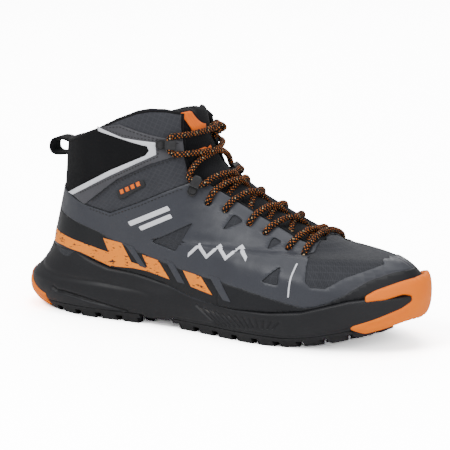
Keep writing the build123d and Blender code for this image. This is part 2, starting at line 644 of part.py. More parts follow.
# ---------------------------------------------------------------- lace: one cord, laced up to the knot
# Each strand is listed from the middle of the bar at the toe end.  A place on the strand is (X, side, Z),
# where a positive side is the side that the strand is on now.  At each crossing the strand that is
# going to the lateral side lies on top, a cord's thickness further out.
BAR = [(78.2, 0, 74.8), (78.2, 15, 72.2), (77.2, 28.6, 65.6), (76.6, 26.8, 58.6)]
ROWS = [
    [(73, 19, 64), (67.5, 19.8, 72.8), (64.6, 28, 67.1), (63, 23.2, 62.3)],
    [(58.7, 15.8, 69.8), (49.4, 19.6, 80.2), (45.6, 26.5, 75.3), (44, 21.8, 70.4)],
    [(40.1, 15.3, 77.7), (35.4, 19.8, 86.2), (32.6, 26.3, 80), (31, 21.1, 75.6)],
    [(26, 15.2, 84), (17.4, 20.2, 94), (13.6, 26.8, 87.4), (12, 21.1, 83.6)],
    [(8, 16, 93), (4, 22, 101), (0.6, 28.3, 91), (-1.1, 22.1, 88.3)],
    [(0, 17, 96.5), (-0.4, 22, 107), (-3.8, 26.2, 101.2), (-14.4, 29.8, 106.2), (-13.2, 26.8, 112.2)],
    [(-12, 16, 118.6), (-17.6, 27.6, 122.8), (-27.6, 33, 122.9), (-28.4, 31.4, 135.2), (-22, 27.2, 135)]]
CROSSINGS = [(68.7, 73.2), (53, 80), (37.6, 86.5), (22, 95.2), (9.4, 102.2), (4.2, 106.4), (-9.4, 120.6)]
LIFT = [(0.35, 0.94), (0.4, 0.91), (0.4, 0.92), (0.48, 0.88), (0.57, 0.82), (0.62, 0.79), (0.83, 0.56)]
FIRST_TAIL = [(-16, 15, 134), (-17.5, 13.5, 128.5), (-24, 18.5, 127), (-27.4, 22.8, 121), (-27, 24, 113)]
SECOND_TAIL = [(-12.6, 0, 136), (-14, 11, 137.5), (-20, 18, 137), (-27, 22, 132), (-32.1, 25, 125), (-31.8, 26.2, 116.5)]


def strand(first_side):
    """One half of the cord, from the middle of the bar to the start of its tail."""
    side = first_side
    route = [(x, side * y, z) for x, y, z in BAR]
    for row, crossing, lift in zip(ROWS, CROSSINGS, LIFT):
        over = (LACE + 0.1) if side == MEDIAL else 0
        leave, *arrive = row
        route.append((leave[0], side * leave[1], leave[2]))
        route.append((crossing[0] + over * lift[0], 0, crossing[1] + over * lift[1]))
        side = -side
        route += [(x, side * y, z) for x, y, z in arrive]
    return route


lace_route = FIRST_TAIL[::-1] + strand(LATERAL)[:0:-1] + strand(MEDIAL) + SECOND_TAIL


def corner_radii(route):
    """The largest arc that the two runs at each corner leave room for."""
    radii = []
    for before, corner, after in zip(route, route[1:], route[2:]):
        arriving = Vector(corner) - Vector(before)
        leaving = Vector(after) - Vector(corner)
        half_turn = radians(arriving.get_angle(leaving)) / 2
        radii.append(0.45 * min(arriving.length, leaving.length) / tan(half_turn))
    return radii


lace_radii = corner_radii(lace_route)
with BuildPart() as lace:
    with BuildLine():
        lace_line = FilletPolyline(*lace_route, radius=lace_radii)
    with BuildSketch(Plane(origin=lace_line @ 0, z_dir=lace_line % 0)):
        Circle(LACE / 2)
    sweep()
save(lace, "lace")
lace_length = lace_line.length
print("lace length", round(lace_length), "mm, least radius", round(min(lace_radii), 1))
print("lace radii", [round(radius, 1) for radius in lace_radii])
print("lace volume over section times length", round(lace.part.volume / (pi * LACE ** 2 / 4 * lace_length), 4))

AGLET = 15.0
with BuildPart() as lace_aglets:
    for place, direction in ((lace_line @ 0, lace_line % 0 * -1), (lace_line @ 1, lace_line % 1)):
        with BuildSketch(Plane(origin=place, z_dir=direction)):
            Circle(LACE / 2 - 0.1)
        extrude(amount=AGLET)
save(lace_aglets, "lace_aglets")

KNOT = 9.0
with BuildPart() as lace_knot:
    with Locations((-15.5, 13.5, 134.5)):
        Sphere(KNOT / 2)
save(lace_knot, "lace_knot")
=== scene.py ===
"""Looks of the hiking boot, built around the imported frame.

Lengths in this script are millimetres, in the frame's axes: +X to the toe, +Z up, -Y to the lateral side.
A place on the upper is (distance from the heel's rearmost point, height); meshes are scaled to metres
when they are made.
"""
from math import cos, pi, radians, sin

import bpy
import numpy as np
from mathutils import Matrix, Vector
from mathutils.geometry import delaunay_2d_cdt


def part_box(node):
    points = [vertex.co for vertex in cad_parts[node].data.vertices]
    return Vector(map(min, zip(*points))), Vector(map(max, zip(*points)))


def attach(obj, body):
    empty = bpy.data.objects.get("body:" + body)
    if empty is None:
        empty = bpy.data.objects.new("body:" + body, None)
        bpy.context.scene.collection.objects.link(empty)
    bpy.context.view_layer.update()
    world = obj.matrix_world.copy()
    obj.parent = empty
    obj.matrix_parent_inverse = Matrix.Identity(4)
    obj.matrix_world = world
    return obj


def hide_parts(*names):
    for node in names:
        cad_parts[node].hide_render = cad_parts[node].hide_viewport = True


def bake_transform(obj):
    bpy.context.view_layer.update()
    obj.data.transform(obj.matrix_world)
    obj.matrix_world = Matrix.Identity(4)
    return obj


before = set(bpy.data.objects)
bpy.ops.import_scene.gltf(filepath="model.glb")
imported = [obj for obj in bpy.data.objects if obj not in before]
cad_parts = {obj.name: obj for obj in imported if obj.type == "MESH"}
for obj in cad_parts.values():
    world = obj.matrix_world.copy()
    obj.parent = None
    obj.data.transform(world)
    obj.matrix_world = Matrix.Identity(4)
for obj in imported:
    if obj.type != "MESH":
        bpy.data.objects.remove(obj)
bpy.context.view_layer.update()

MM = 0.001
LENGTH = 312.0
HALF = LENGTH / 2
LATERAL, MEDIAL = -1, 1
SIDES = ((LATERAL, "lateral"), (MEDIAL, "medial"))

# ---------------------------------------------------------------- camera
AIM = Vector((0, 0, 0.060))
BACK = Vector((0.4876, -0.8445, 0.2215))
camera_data = bpy.data.cameras.new("camera")
camera_data.lens = 320.3
camera_data.sensor_width = 36
camera_data.shift_x = -0.0044
camera_data.shift_y = 0.0289
camera_data.clip_end = 20
camera = bpy.data.objects.new("camera", camera_data)
bpy.context.scene.collection.objects.link(camera)
camera.location = AIM + BACK * 2.8
camera.rotation_mode = "QUATERNION"
camera.rotation_quaternion = (-BACK).to_track_quat("-Z", "Y")
bpy.context.scene.camera = camera

# ---------------------------------------------------------------- lace route, with the CAD tube's control points
LACE = 3.4
BAR = [(78.2, 0, 74.8), (78.2, 15, 72.2), (77.2, 28.6, 65.6), (76.6, 26.8, 58.6)]
ROWS = [
    [(73, 19, 64), (67.5, 19.8, 72.8), (64.6, 28, 67.1), (63, 23.2, 62.3)],
    [(58.7, 15.8, 69.8), (49.4, 19.6, 80.2), (45.6, 26.5, 75.3), (44, 21.8, 70.4)],
    [(40.1, 15.3, 77.7), (35.4, 19.8, 86.2), (32.6, 26.3, 80), (31, 21.1, 75.6)],
    [(26, 15.2, 84), (17.4, 20.2, 94), (13.6, 26.8, 87.4), (12, 21.1, 83.6)],
    [(8, 16, 93), (4, 22, 101), (0.6, 28.3, 91), (-1.1, 22.1, 88.3)],
    [(0, 17, 96.5), (-0.4, 22, 107), (-3.8, 26.2, 101.2), (-14.4, 29.8, 106.2), (-13.2, 26.8, 112.2)],
    [(-12, 16, 118.6), (-17.6, 27.6, 122.8), (-27.6, 33, 122.9), (-28.4, 31.4, 135.2), (-22, 27.2, 135)]]
CROSSINGS = [(68.7, 73.2), (53, 80), (37.6, 86.5), (22, 95.2), (9.4, 102.2), (4.2, 106.4), (-9.4, 120.6)]
LIFT = [(0.35, 0.94), (0.4, 0.91), (0.4, 0.92), (0.48, 0.88), (0.57, 0.82), (0.62, 0.79), (0.83, 0.56)]
FIRST_TAIL = [(-16, 15, 134), (-17.5, 13.5, 128.5), (-24, 18.5, 127), (-27.4, 22.8, 121), (-27, 24, 113)]
SECOND_TAIL = [(-12.6, 0, 136), (-14, 11, 137.5), (-20, 18, 137), (-27, 22, 132), (-32.1, 25, 125),
               (-31.8, 26.2, 116.5)]


def strand(first_side):
    """One half of the cord, from the middle of the bar to the start of its tail."""
    side = first_side
    route = [(x, side * y, z) for x, y, z in BAR]
    for row, crossing, lift in zip(ROWS, CROSSINGS, LIFT):
        over = (LACE + 0.1) if side == MEDIAL else 0
        leave, *arrive = row
        route.append((leave[0], side * leave[1], leave[2]))
        route.append((crossing[0] + over * lift[0], 0, crossing[1] + over * lift[1]))
        side = -side
        route += [(x, side * y, z) for x, y, z in arrive]
    return route


lace_route = FIRST_TAIL[::-1] + strand(LATERAL)[:0:-1] + strand(MEDIAL) + SECOND_TAIL


def smooth_line(name, route):
    """The NURBS line through a route's control points, as an array of points in mm."""
    data = bpy.data.curves.new(name, "CURVE")
    data.dimensions = "3D"
    data.resolution_u = 12
    spline = data.splines.new("NURBS")
    spline.points.add(len(route) - 1)
    for point, place in zip(spline.points, route):
        point.co = (*(c * MM for c in place), 1)
    spline.order_u = 3
    spline.use_endpoint_u = True
    carrier = bpy.data.objects.new(name, data)
    bpy.context.scene.collection.objects.link(carrier)
    bpy.context.view_layer.update()
    mesh = bpy.data.meshes.new_from_object(carrier.evaluated_get(bpy.context.evaluated_depsgraph_get()))
    points = np.array([v.co for v in mesh.vertices]) / MM
    bpy.data.objects.remove(carrier)
    bpy.data.meshes.remove(mesh)
    return points


# ---------------------------------------------------------------- curves
def curve(points):
    """A smooth line through the points that never overshoots them; constant beyond its ends."""
    xs, ys = (np.array(c, float) for c in zip(*points))
    steps = np.diff(xs)
    slopes = np.diff(ys) / steps
    tilts = np.zeros(len(xs))
    tilts[0], tilts[-1] = slopes[0], slopes[-1]
    for i in range(1, len(xs) - 1):
        if slopes[i - 1] * slopes[i] > 0:
            before = 2 * steps[i] + steps[i - 1]
            after = steps[i] + 2 * steps[i - 1]
            tilts[i] = (before + after) / (before / slopes[i - 1] + after / slopes[i])

    def value(x):
        x = np.clip(x, xs[0], xs[-1])
        i = np.clip(np.searchsorted(xs, x, side="right") - 1, 0, len(steps) - 1)
        t = (x - xs[i]) / steps[i]
        start = ys[i] * (1 + 2 * t) * (1 - t) ** 2 + tilts[i] * steps[i] * t * (1 - t) ** 2
        end = ys[i + 1] * t * t * (3 - 2 * t) + tilts[i + 1] * steps[i] * t * t * (t - 1)
        return start + end

    return value


def softened(line, low, high, spread):
    """A height-to-distance line with its small kinks evened out over a spread in mm of its own length."""
    heights = np.linspace(low, high, 1200)
    distances = line(heights)
    along = np.concatenate([[0], np.cumsum(np.hypot(np.diff(heights), np.diff(distances)))])
    even = np.linspace(0, along[-1], int(along[-1] * 2))
    taps = np.arange(-30, 31)
    weights = np.exp(-(taps / (2 * spread)) ** 2)
    weights /= weights.sum()

    def smooth(values):
        sampled = np.interp(even, along, values)
        padded = np.concatenate([2 * sampled[0] - sampled[30:0:-1], sampled, 2 * sampled[-1] - sampled[-2:-32:-1]])
        return np.convolve(padded, weights, mode="valid")

    smooth_heights, smooth_distances = smooth(heights), smooth(distances)
    return lambda z: np.interp(z, smooth_heights, smooth_distances)


def rounding(t):
    """From 0 at an end of the boot to 1 where its side runs straight."""
    t = np.clip(t, 0.0, 1.0)
    return (1 - (1 - t) ** 2.1) ** (1 / 2.1)


# ---------------------------------------------------------------- outer forms of upper and sole, as in the CAD
HEEL_LINE = softened(curve([(8, 22), (28, 20.5), (44, 20.5), (71, 25), (86, 28), (102, 30), (118, 30.5),
                            (160, 29)]), 8, 160, 4)
RIDGE_LINE = softened(curve([
    (8, 304), (28, 307), (40, 309), (48, 307), (52, 304.5), (55, 301.5), (58, 297), (60, 292),
    (61.2, 286), (62, 275), (62.8, 262), (68.5, 245), (73.5, 230), (79, 216), (84.5, 204),
    (90.5, 190), (97, 178.5), (103, 168), (109, 160), (115, 153.5), (120, 149.5), (128, 145),
    (138, 142), (148, 140), (160, 137)]), 8, 160, 4)
BALL_WIDTH = {
    LATERAL: curve([(18, 33), (50, 34.5), (80, 35.5), (110, 36), (130, 38), (160, 44), (190, 48.5),
                    (212, 49.5), (238, 47), (265, 42), (300, 36)]),
    MEDIAL: curve([(18, 33), (50, 33.5), (80, 33.5), (110, 33), (130, 34), (160, 39), (190, 46),
                   (212, 49), (238, 48), (265, 44), (300, 39)])}
ANKLE_WIDTH = curve([(18, 26), (40, 27), (60, 31), (80, 34.5), (100, 35.5), (130, 34), (150, 31), (180, 30)])
TOE_ROUND = curve([(8, 52), (28, 55), (40, 62), (48, 84), (54, 120), (60, 150), (64, 150), (72, 130),
                   (80, 112), (95, 78), (110, 55), (123, 45), (158, 42)])
HEEL_ROUND = curve([(8, 34), (44, 34), (88, 30), (118, 30), (158, 32)])
SOLE_REAR = curve([(-2, 17), (0, 14), (6, 4.5), (13, 0.4), (16, 0), (22, 1), (30, 8), (38, 14), (46, 17.5),
                   (56, 19)])
SOLE_FRONT = curve([(-2, 258), (0, 262), (8, 286), (14, 299), (22, 308), (30, 311), (38, 312), (46, 310.8),
                    (51, 308), (56, 303.5)])
SOLE_WIDTH = {
    LATERAL: curve([(0, 40), (43, 41), (70, 43), (100, 41.5), (130, 41.5), (160, 45.5), (190, 51), (212, 53),
                    (240, 51.5), (265, 48), (290, 43), (312, 38)]),
    MEDIAL: curve([(0, 39), (43, 39.5), (70, 40.5), (100, 38), (130, 37), (160, 42), (190, 49.5), (214, 53),
                   (240, 52), (265, 49.5), (290, 46), (312, 42)])}
SOLE_DRAFT = curve([(-2, 7), (0, 6), (6, 2.5), (13, 0), (16, 0), (22, 0.8), (30, 3), (38, 4.6), (46, 5.6),
                    (56, 6)])


def upper_ends(height):
    return HEEL_LINE(height), RIDGE_LINE(height)


def upper_width(distance, height, side):
    rear, front = upper_ends(height)
    rise = np.clip((height - 33) / 70, 0.0, 1.0)
    blend = rise * rise * (3 - 2 * rise)
    low = BALL_WIDTH[side](distance)
    width = low + (ANKLE_WIDTH(distance) - low) * blend
    heel_share = rounding((distance - rear) / HEEL_ROUND(height))
    return width * heel_share * rounding((front - distance) / TOE_ROUND(height))


def sole_ends(height):
    return SOLE_REAR(height), SOLE_FRONT(height)


def sole_width(distance, height, side):
    rear, front = sole_ends(height)
    draft = SOLE_DRAFT(height) * (1 - np.clip((distance - 230) / 50, 0.0, 1.0))
    width = SOLE_WIDTH[side](distance) - draft
    return width * rounding((distance - rear) / 52) * rounding((front - distance) / 58)


class Form:
    """A surface round the boot.  turn runs from 0 at the heel to pi at the front on the lateral side,
    and on to 2 pi back at the heel on the medial side."""

    def __init__(self, ends, width, low, high):
        self.ends = ends
        self.width = width
        heights = np.linspace(low, high, 400)
        rear, front = ends(heights)
        run = 0.6 * np.hypot(np.gradient(front, heights), 0.3 * np.gradient(rear, heights))
        stretch = np.sqrt(1 + run ** 2)
        self.heights = heights
        self.climb = np.concatenate([[0], np.cumsum((stretch[1:] + stretch[:-1]) / 2 * np.diff(heights))])
        self.turns = np.linspace(0, pi, 181)
        self.arcs = {}
        for side, _ in SIDES:
            rows = []
            for height in heights[::4]:
                points = self.point(self.turns if side == LATERAL else 2 * pi - self.turns, height)
                rows.append(np.concatenate([[0], np.cumsum(np.linalg.norm(np.diff(points, axis=0), axis=1))]))
            self.arcs[side] = np.array(rows)

    def point(self, turn, height):
        turn, height = np.broadcast_arrays(np.asarray(turn, float), np.asarray(height, float))
        t = np.mod(turn, 2 * pi)
        rear, front = self.ends(height)
        distance = rear + (front - rear) * (1 - np.cos(t)) / 2
        lateral = -self.width(distance, height, LATERAL)
        medial = self.width(distance, height, MEDIAL)
        return np.stack([distance - HALF, np.where(t > pi, medial, lateral), height], axis=-1)

    def normal(self, turn, height):
        along = self.point(turn + 0.012, height) - self.point(turn - 0.012, height)
        up = self.point(turn, height + 0.25) - self.point(turn, height - 0.25)
        normal = np.cross(along, up)
        return normal / np.maximum(np.linalg.norm(normal, axis=-1, keepdims=True), 1e-9)

    def place(self, turn, height, rise=0.0):
        """Points a given rise above the surface."""
        turn = np.asarray(turn, float)
        rise = np.asarray(rise, float)
        return self.point(turn, height) + self.normal(turn, height) * rise[..., None]

    def turn_at(self, distance, height, side):
        """The turn of a side-view place, and whether the surface reaches it."""
        rear, front = self.ends(height)
        share = (np.asarray(distance, float) - rear) / (front - rear)
        turn = np.arccos(np.clip(1 - 2 * share, -1, 1))
        return (turn if side == LATERAL else 2 * pi - turn), (share >= 0) & (share <= 1)

    def arc(self, turn, height, side):
        """Length along the surface from the heel, at one height."""
        t = turn if side == LATERAL else 2 * pi - turn
        rows = self.arcs[side]
        row = np.clip((height - self.heights[0]) / (self.heights[4] - self.heights[0]), 0, len(rows) - 1.001)
        column = np.clip(t / pi * 180, 0, 179.999)
        i, j = row.astype(int), column.astype(int)
        a, b = row - i, column - j
        return ((rows[i, j] * (1 - b) + rows[i, j + 1] * b) * (1 - a)
                + (rows[i + 1, j] * (1 - b) + rows[i + 1, j + 1] * b) * a)

    def flat(self, turn, height, side, from_front):
        """Unrolled places of the surface, in mm."""
        arc = self.arc(turn, height, side)
        if from_front:
            arc = arc - self.arc(np.full_like(arc, pi), height, side)
        return np.stack([arc, np.interp(height, self.heights, self.climb)], axis=-1)


UPPER = Form(upper_ends, upper_width, 10, 158)
SOLE = Form(sole_ends, sole_width, 0.5, 55)


def ripple(points, size, seed):
    """Gentle uneven numbers between about -1 and 1, the same at the same place on every run."""
    rng = np.random.default_rng(seed)
    total = np.zeros(len(points))
    for _ in range(7):
        direction = rng.normal(size=3)
        direction /= np.linalg.norm(direction)
        total += np.sin(points @ direction * (2 * pi / size) * rng.uniform(0.6, 1.5) + rng.uniform(0, 2 * pi))
    return total / 3.2


# ---------------------------------------------------------------- mesh helpers
def new_mesh(name, points, faces, material, smooth=True, uv=None):
    """A mesh object from points in mm."""
    mesh = bpy.data.meshes.new(name)
    mesh.from_pydata([tuple(p) for p in np.asarray(points) * MM], [], [tuple(int(i) for i in f) for f in faces])
    if smooth:
        mesh.shade_smooth()
    if uv is not None:
        layer = mesh.uv_layers.new(name="UVMap")
        corners = np.zeros(len(mesh.loops), int)
        mesh.loops.foreach_get("vertex_index", corners)
        layer.data.foreach_set("uv", (np.asarray(uv)[corners] * 0.1).ravel())
    piece = bpy.data.objects.new(name, mesh)
    bpy.context.scene.collection.objects.link(piece)
    if material is not None:
        mesh.materials.append(material)
    return piece


def inside(outlines, places):
    """Whether side-view places are within the outlines; an outline inside another is a hole."""
    x, y = places[:, 0], places[:, 1]
    hit = np.zeros(len(places), bool)
    for outline in outlines:
        for (x0, y0), (x1, y1) in zip(outline, outline[1:] + outline[:1]):
            if y0 == y1:
                continue
            cross = ((y0 > y) != (y1 > y)) & (x < (x1 - x0) * (y - y0) / (y1 - y0) + x0)
            hit ^= cross
    return hit


def rounded(outline, radius):
    """A closed outline with its corners rounded off."""
    if radius <= 0:
        return list(outline)
    result = []
    count = len(outline)
    for i, corner in enumerate(outline):
        before, after = np.array(outline[i - 1]), np.array(outline[(i + 1) % count])
        corner = np.array(corner)
        start = corner + (before - corner) * min(0.45, radius / max(np.linalg.norm(before - corner), 1e-6))
        end = corner + (after - corner) * min(0.45, radius / max(np.linalg.norm(after - corner), 1e-6))
        for t in (0, 0.33, 0.67, 1):
            result.append(tuple(start * (1 - t) ** 2 + corner * 2 * t * (1 - t) + end * t * t))
    return result


def sampled(outline, step, close=True):
    """A polyline cut into short equal steps."""
    ends = outline[1:] + outline[:1] if close else outline[1:]
    places = []
    for start, end in zip(outline, ends):
        start, end = np.array(start, float), np.array(end, float)
        pieces = max(1, int(np.ceil(np.linalg.norm(end - start) / step)))
        places += [start + (end - start) * i / pieces for i in range(pieces)]
    if not close:
        places.append(np.array(outline[-1], float))
    return places


def segment_distance(points, starts, ends):
    """Distance from each point to the nearest of some segments, in the plane."""
    best = np.full(len(points), 1e9)
    for a, b in zip(starts, ends):
        d = b - a
        size = d @ d
        t = np.clip(((points - a) @ d) / size, 0, 1) if size > 1e-12 else np.zeros(len(points))
        best = np.minimum(best, np.hypot(*(points - a - t[:, None] * d).T))
    return best


THIN_RIM = 0.8


def half_panel(form, outlines, side, cell, rim, from_front):
    """One side of a panel: turns, heights, unrolled places, distances to the rim and triangles."""
    turns, heights, starts, ends = [], [], [], []
    edges = []
    for outline in outlines:
        places = np.array(sampled(outline, min(cell, 1.6)))
        turn, reached = form.turn_at(places[:, 0], places[:, 1], side)
        reached &= (places[:, 1] > form.heights[0]) & (places[:, 1] < form.heights[-1])
        count = len(places)
        previous = None
        first = None
        for i in range(count + 1):
            a, b = places[i % count], places[(i + 1) % count]
            if i < count and reached[i]:
                turns.append(turn[i])
                heights.append(a[1])
                here = len(turns) - 1
                if previous is not None:
                    edges.append((previous, here))
                if first is None and i == 0:
                    first = here
                previous = here
            elif i == count:
                if previous is not None and first is not None:
                    edges.append((previous, first))
                break
            if reached[i % count] != reached[(i + 1) % count]:
                low, high = 0.0, 1.0
                for _ in range(30):
                    middle = (low + high) / 2
                    place = a + (b - a) * middle
                    good = form.turn_at(place[0], place[1], side)[1] & (place[1] > form.heights[0]) & (
                        place[1] < form.heights[-1])
                    if good == reached[i % count]:
                        low = middle
                    else:
                        high = middle
                place = a + (b - a) * (low if reached[i % count] else high)
                snapped, _ = form.turn_at(place[0], place[1], side)
                for limit in (0, pi, 2 * pi):
                    if abs(snapped - limit) < 0.02:
                        snapped = limit
                turns.append(snapped)
                heights.append(place[1])
                here = len(turns) - 1
                if reached[i % count]:
                    edges.append((previous, here))
                    previous = None
                else:
                    previous = here
    turns, heights = np.array(turns), np.array(heights)
    border = form.flat(turns, heights, side, from_front)
    starts = [border[a] for a, b in edges]
    ends = [border[b] for a, b in edges]

    low = max(min(y for o in outlines for _, y in o), form.heights[0])
    high = min(max(y for o in outlines for _, y in o), form.heights[-1])
    levels = np.interp(np.arange(np.interp(low, form.heights, form.climb) + 0.01,
                                 np.interp(high, form.heights, form.climb), cell), form.climb, form.heights)
    grid_turns, grid_heights = [], []
    base = form.turns if side == LATERAL else 2 * pi - form.turns
    for row, level in enumerate(levels):
        arcs = form.arc(base, np.full(181, level), side)
        total = arcs[-1]
        places = np.concatenate([[0], np.arange(cell * (0.5 + 0.5 * (row % 2)), total - cell * 0.4, cell), [total]])
        grid_turns.append(np.interp(places, arcs, base))
        grid_heights.append(np.full(len(places), level))
    grid_turns, grid_heights = np.concatenate(grid_turns), np.concatenate(grid_heights)
    rear, front = form.ends(grid_heights)
    side_places = np.stack([rear + (front - rear) * (1 - np.cos(grid_turns)) / 2, grid_heights], axis=-1)
    nudged = side_places.copy()
    nudged[:, 0] = np.clip(nudged[:, 0], rear + 0.01, front - 0.01)
    keep = inside(outlines, nudged)
    grid_turns, grid_heights = grid_turns[keep], grid_heights[keep]
    grid_flat = form.flat(grid_turns, grid_heights, side, from_front)
    away = segment_distance(grid_flat, starts, ends)
    on_centre = (np.abs(np.sin(grid_turns)) < 1e-6) & (away > 0.3)
    ringed = rim > THIN_RIM
    keep = (away > (rim * 1.3 if ringed else 0) + 0.25 * cell) | on_centre
    grid_turns, grid_heights = grid_turns[keep], grid_heights[keep]

    if ringed:
        normals = np.array([(-(e - s)[1], (e - s)[0]) / max(np.linalg.norm(e - s), 1e-9)
                            for s, e in zip(starts, ends)])
        middles = (np.array(starts) + np.array(ends)) / 2
        for share in (0.35, 1.0):
            for sign in (-1, 1):
                offset = middles + normals * sign * rim * share
                far = segment_distance(offset, starts, ends)
                offset = offset[far > 0.93 * rim * share]
                if not len(offset):
                    continue
                new_heights = np.interp(offset[:, 1], form.climb, form.heights)
                new_turns = []
                for (u, _), level in zip(offset, new_heights):
                    arcs = form.arc(base, np.full(181, level), side)
                    if from_front:
                        arcs = arcs - arcs[-1]
                    new_turns.append(np.interp(u, arcs, base) if arcs[0] < u < arcs[-1] else np.nan)
                new_turns = np.array(new_turns)
                good = ~np.isnan(new_turns)
                new_turns, new_heights = new_turns[good], new_heights[good]
                rear, front = form.ends(new_heights)
                places = np.stack([rear + (front - rear) * (1 - np.cos(new_turns)) / 2, new_heights], axis=-1)
                good = inside(outlines, places)
                grid_turns = np.concatenate([grid_turns, new_turns[good]])
                grid_heights = np.concatenate([grid_heights, new_heights[good]])

    all_turns = np.concatenate([turns, grid_turns])
    all_heights = np.concatenate([heights, grid_heights])
    flat = form.flat(all_turns, all_heights, side, from_front)
    verts, _, faces, sources, _, _ = delaunay_2d_cdt([Vector(p) for p in flat], edges, [], 0, 1e-5)
    flat_out = np.array([tuple(v) for v in verts])
    out_turns, out_heights = np.zeros(len(verts)), np.zeros(len(verts))
    for i, origin in enumerate(sources):
        if origin:
            out_turns[i], out_heights[i] = all_turns[origin[0]], all_heights[origin[0]]
        else:
            near = np.argsort(np.hypot(*(flat - flat_out[i]).T))[:3]
            weight = 1 / (np.hypot(*(flat[near] - flat_out[i]).T) + 1e-6)
            weight /= weight.sum()
            out_turns[i], out_heights[i] = (all_turns[near] * weight).sum(), (all_heights[near] * weight).sum()
    triangles = np.array([f for f in faces if len(f) == 3])
    middle_turn = out_turns[triangles].mean(axis=1)
    middle_height = out_heights[triangles].mean(axis=1)
    rear, front = form.ends(middle_height)
    places = np.stack([rear + (front - rear) * (1 - np.cos(middle_turn)) / 2, middle_height], axis=-1)
    corners = flat_out[triangles]
    longest = np.max([np.linalg.norm(corners[:, i] - corners[:, i - 1], axis=1) for i in range(3)], axis=0)
    triangles = triangles[inside(outlines, places) & (longest < 2.5 * cell + 2)]
    distance = segment_distance(flat_out, starts, ends)
    if side == MEDIAL:
        flat_out = flat_out * (-1, 1)
    corners = form.point(out_turns, out_heights)[triangles]
    facing = np.cross(corners[:, 1] - corners[:, 0], corners[:, 2] - corners[:, 0])
    outward = form.normal(out_turns, out_heights)[triangles[:, 0]]
    wrong = (facing * outward).sum(axis=1) < 0
    triangles[wrong] = triangles[wrong][:, ::-1]
    return out_turns, out_heights, flat_out, distance, triangles


def panel(name, material, outlines, low=0.0, thick=1.0, sides=(LATERAL, MEDIAL), form=None, cell=2.4, rim=0.6,
          corner=0.0, wave=0.0, wave_size=30, seed=1, shape=None, closed=True, from_front=True, sink=0.25):
    """A flat-cut panel laid on the surface: its underside at rise low, its face low + thick, with a rounded rim when
    rim is above THIN_RIM and a square edge otherwise.
    """
    form = form or UPPER
    points, faces, uvs, count = [], [], [], 0
    for side in sides:
        cut = [rounded(o, corner) for o in (outlines(side) if callable(outlines) else outlines)]
        if form is UPPER:
            cut = [under_collar(o, side) if min(p[0] for p in o) < 120 else o for o in cut]
        turns, heights, flat, distance, triangles = half_panel(form, cut, side, cell, rim, from_front)
        rise = np.full(len(turns), low + thick)
        if rim > THIN_RIM:
            t = np.clip(distance / rim, 0, 1)
            rise = low - sink + (thick + sink) * np.sqrt(1 - (1 - t) ** 2)
        if shape is not None:
            rear, front = form.ends(heights)
            rise = rise + shape(rear + (front - rear) * (1 - np.cos(turns)) / 2, heights, distance)
        place = form.place(turns, heights, rise)
        if wave:
            normal = form.normal(turns, heights)
            place = place + normal * (ripple(place, wave_size, seed) * wave * np.clip(distance / 4, 0, 1))[:, None]
        points.append(place)
        uvs.append(flat)
        faces.append(triangles + count)
        count += len(turns)
    points, faces, uvs = np.concatenate(points), np.concatenate(faces), np.concatenate(uvs)
    used = np.unique(faces)
    remap = np.zeros(len(points), int)
    remap[used] = np.arange(len(used))
    piece = new_mesh(name, points[used], remap[faces], material, uv=uvs[used])
    if len(sides) == 2:
        weld = piece.modifiers.new("weld", "WELD")
        weld.merge_threshold = 0.00003
    if closed:
        solid = piece.modifiers.new("solid", "SOLIDIFY")
        solid.thickness = thick * MM
        solid.offset = -1
        solid.use_even_offset = False
    piece.modifiers.new("shading", "WEIGHTED_NORMAL")
    return piece


# ---------------------------------------------------------------- materials
def material(name, colour, roughness=0.6, **sockets):
    """A node material with its shader ready, and the helpers that build on it."""
    made = bpy.data.materials.new(name)
    made.use_nodes = True
    shader = made.node_tree.nodes["Principled BSDF"]
    shader.inputs["Base Color"].default_value = (*colour, 1)
    shader.inputs["Roughness"].default_value = roughness
    for key, value in sockets.items():
        shader.inputs[key.replace("_", " ").title().replace("Ior", "IOR")].default_value = value
    return made, made.node_tree, shader


def link(tree, source, target):
    tree.links.new(source, target)


def node(tree, kind, **settings):
    made = tree.nodes.new(kind)
    for key, value in settings.items():
        if key == "inputs":
            for name, level in value.items():
                made.inputs[name].default_value = level
        else:
            setattr(made, key, value)
    return made


def coordinates(tree, kind="Object", scale=(1, 1, 1), rotation=(0, 0, 0)):
    """Texture coordinates in mm (Object) or in the unrolled mm of a panel (UV)."""
    source = node(tree, "ShaderNodeTexCoord")
    factor = 1000 if kind == "Object" else 10
    mapping = node(tree, "ShaderNodeMapping")
    mapping.inputs["Scale"].default_value = tuple(s * factor for s in scale)
    mapping.inputs["Rotation"].default_value = rotation
    link(tree, source.outputs[kind], mapping.inputs["Vector"])
    return mapping.outputs["Vector"]


def maths(tree, operation, a, b=None, c=None, clamp=False):
    made = node(tree, "ShaderNodeMath", operation=operation)
    made.use_clamp = clamp
    for i, value in enumerate((a, b, c)):
        if value is None:
            continue
        if isinstance(value, (int, float)):
            made.inputs[i].default_value = value
        else:
            link(tree, value, made.inputs[i])
    return made.outputs[0]


def noise(tree, vector, scale, detail=3.0, roughness=0.55):
    made = node(tree, "ShaderNodeTexNoise", inputs={"Scale": scale, "Detail": detail, "Roughness": roughness})
    link(tree, vector, made.inputs["Vector"])
    return made.outputs["Fac"]


def ramp(tree, value, *stops):
    """A colour or grey ramp: stops are (position, value or colour)."""
    made = node(tree, "ShaderNodeValToRGB")
    elements = made.color_ramp.elements
    while len(elements) > len(stops):
        elements.remove(elements[-1])
    while len(elements) < len(stops):
        elements.new(1)
    for element, (position, colour) in zip(elements, stops):
        element.position = position
        element.color = (*colour, 1) if isinstance(colour, tuple) else (colour, colour, colour, 1)
    link(tree, value, made.inputs["Fac"])
    return made.outputs["Color"]


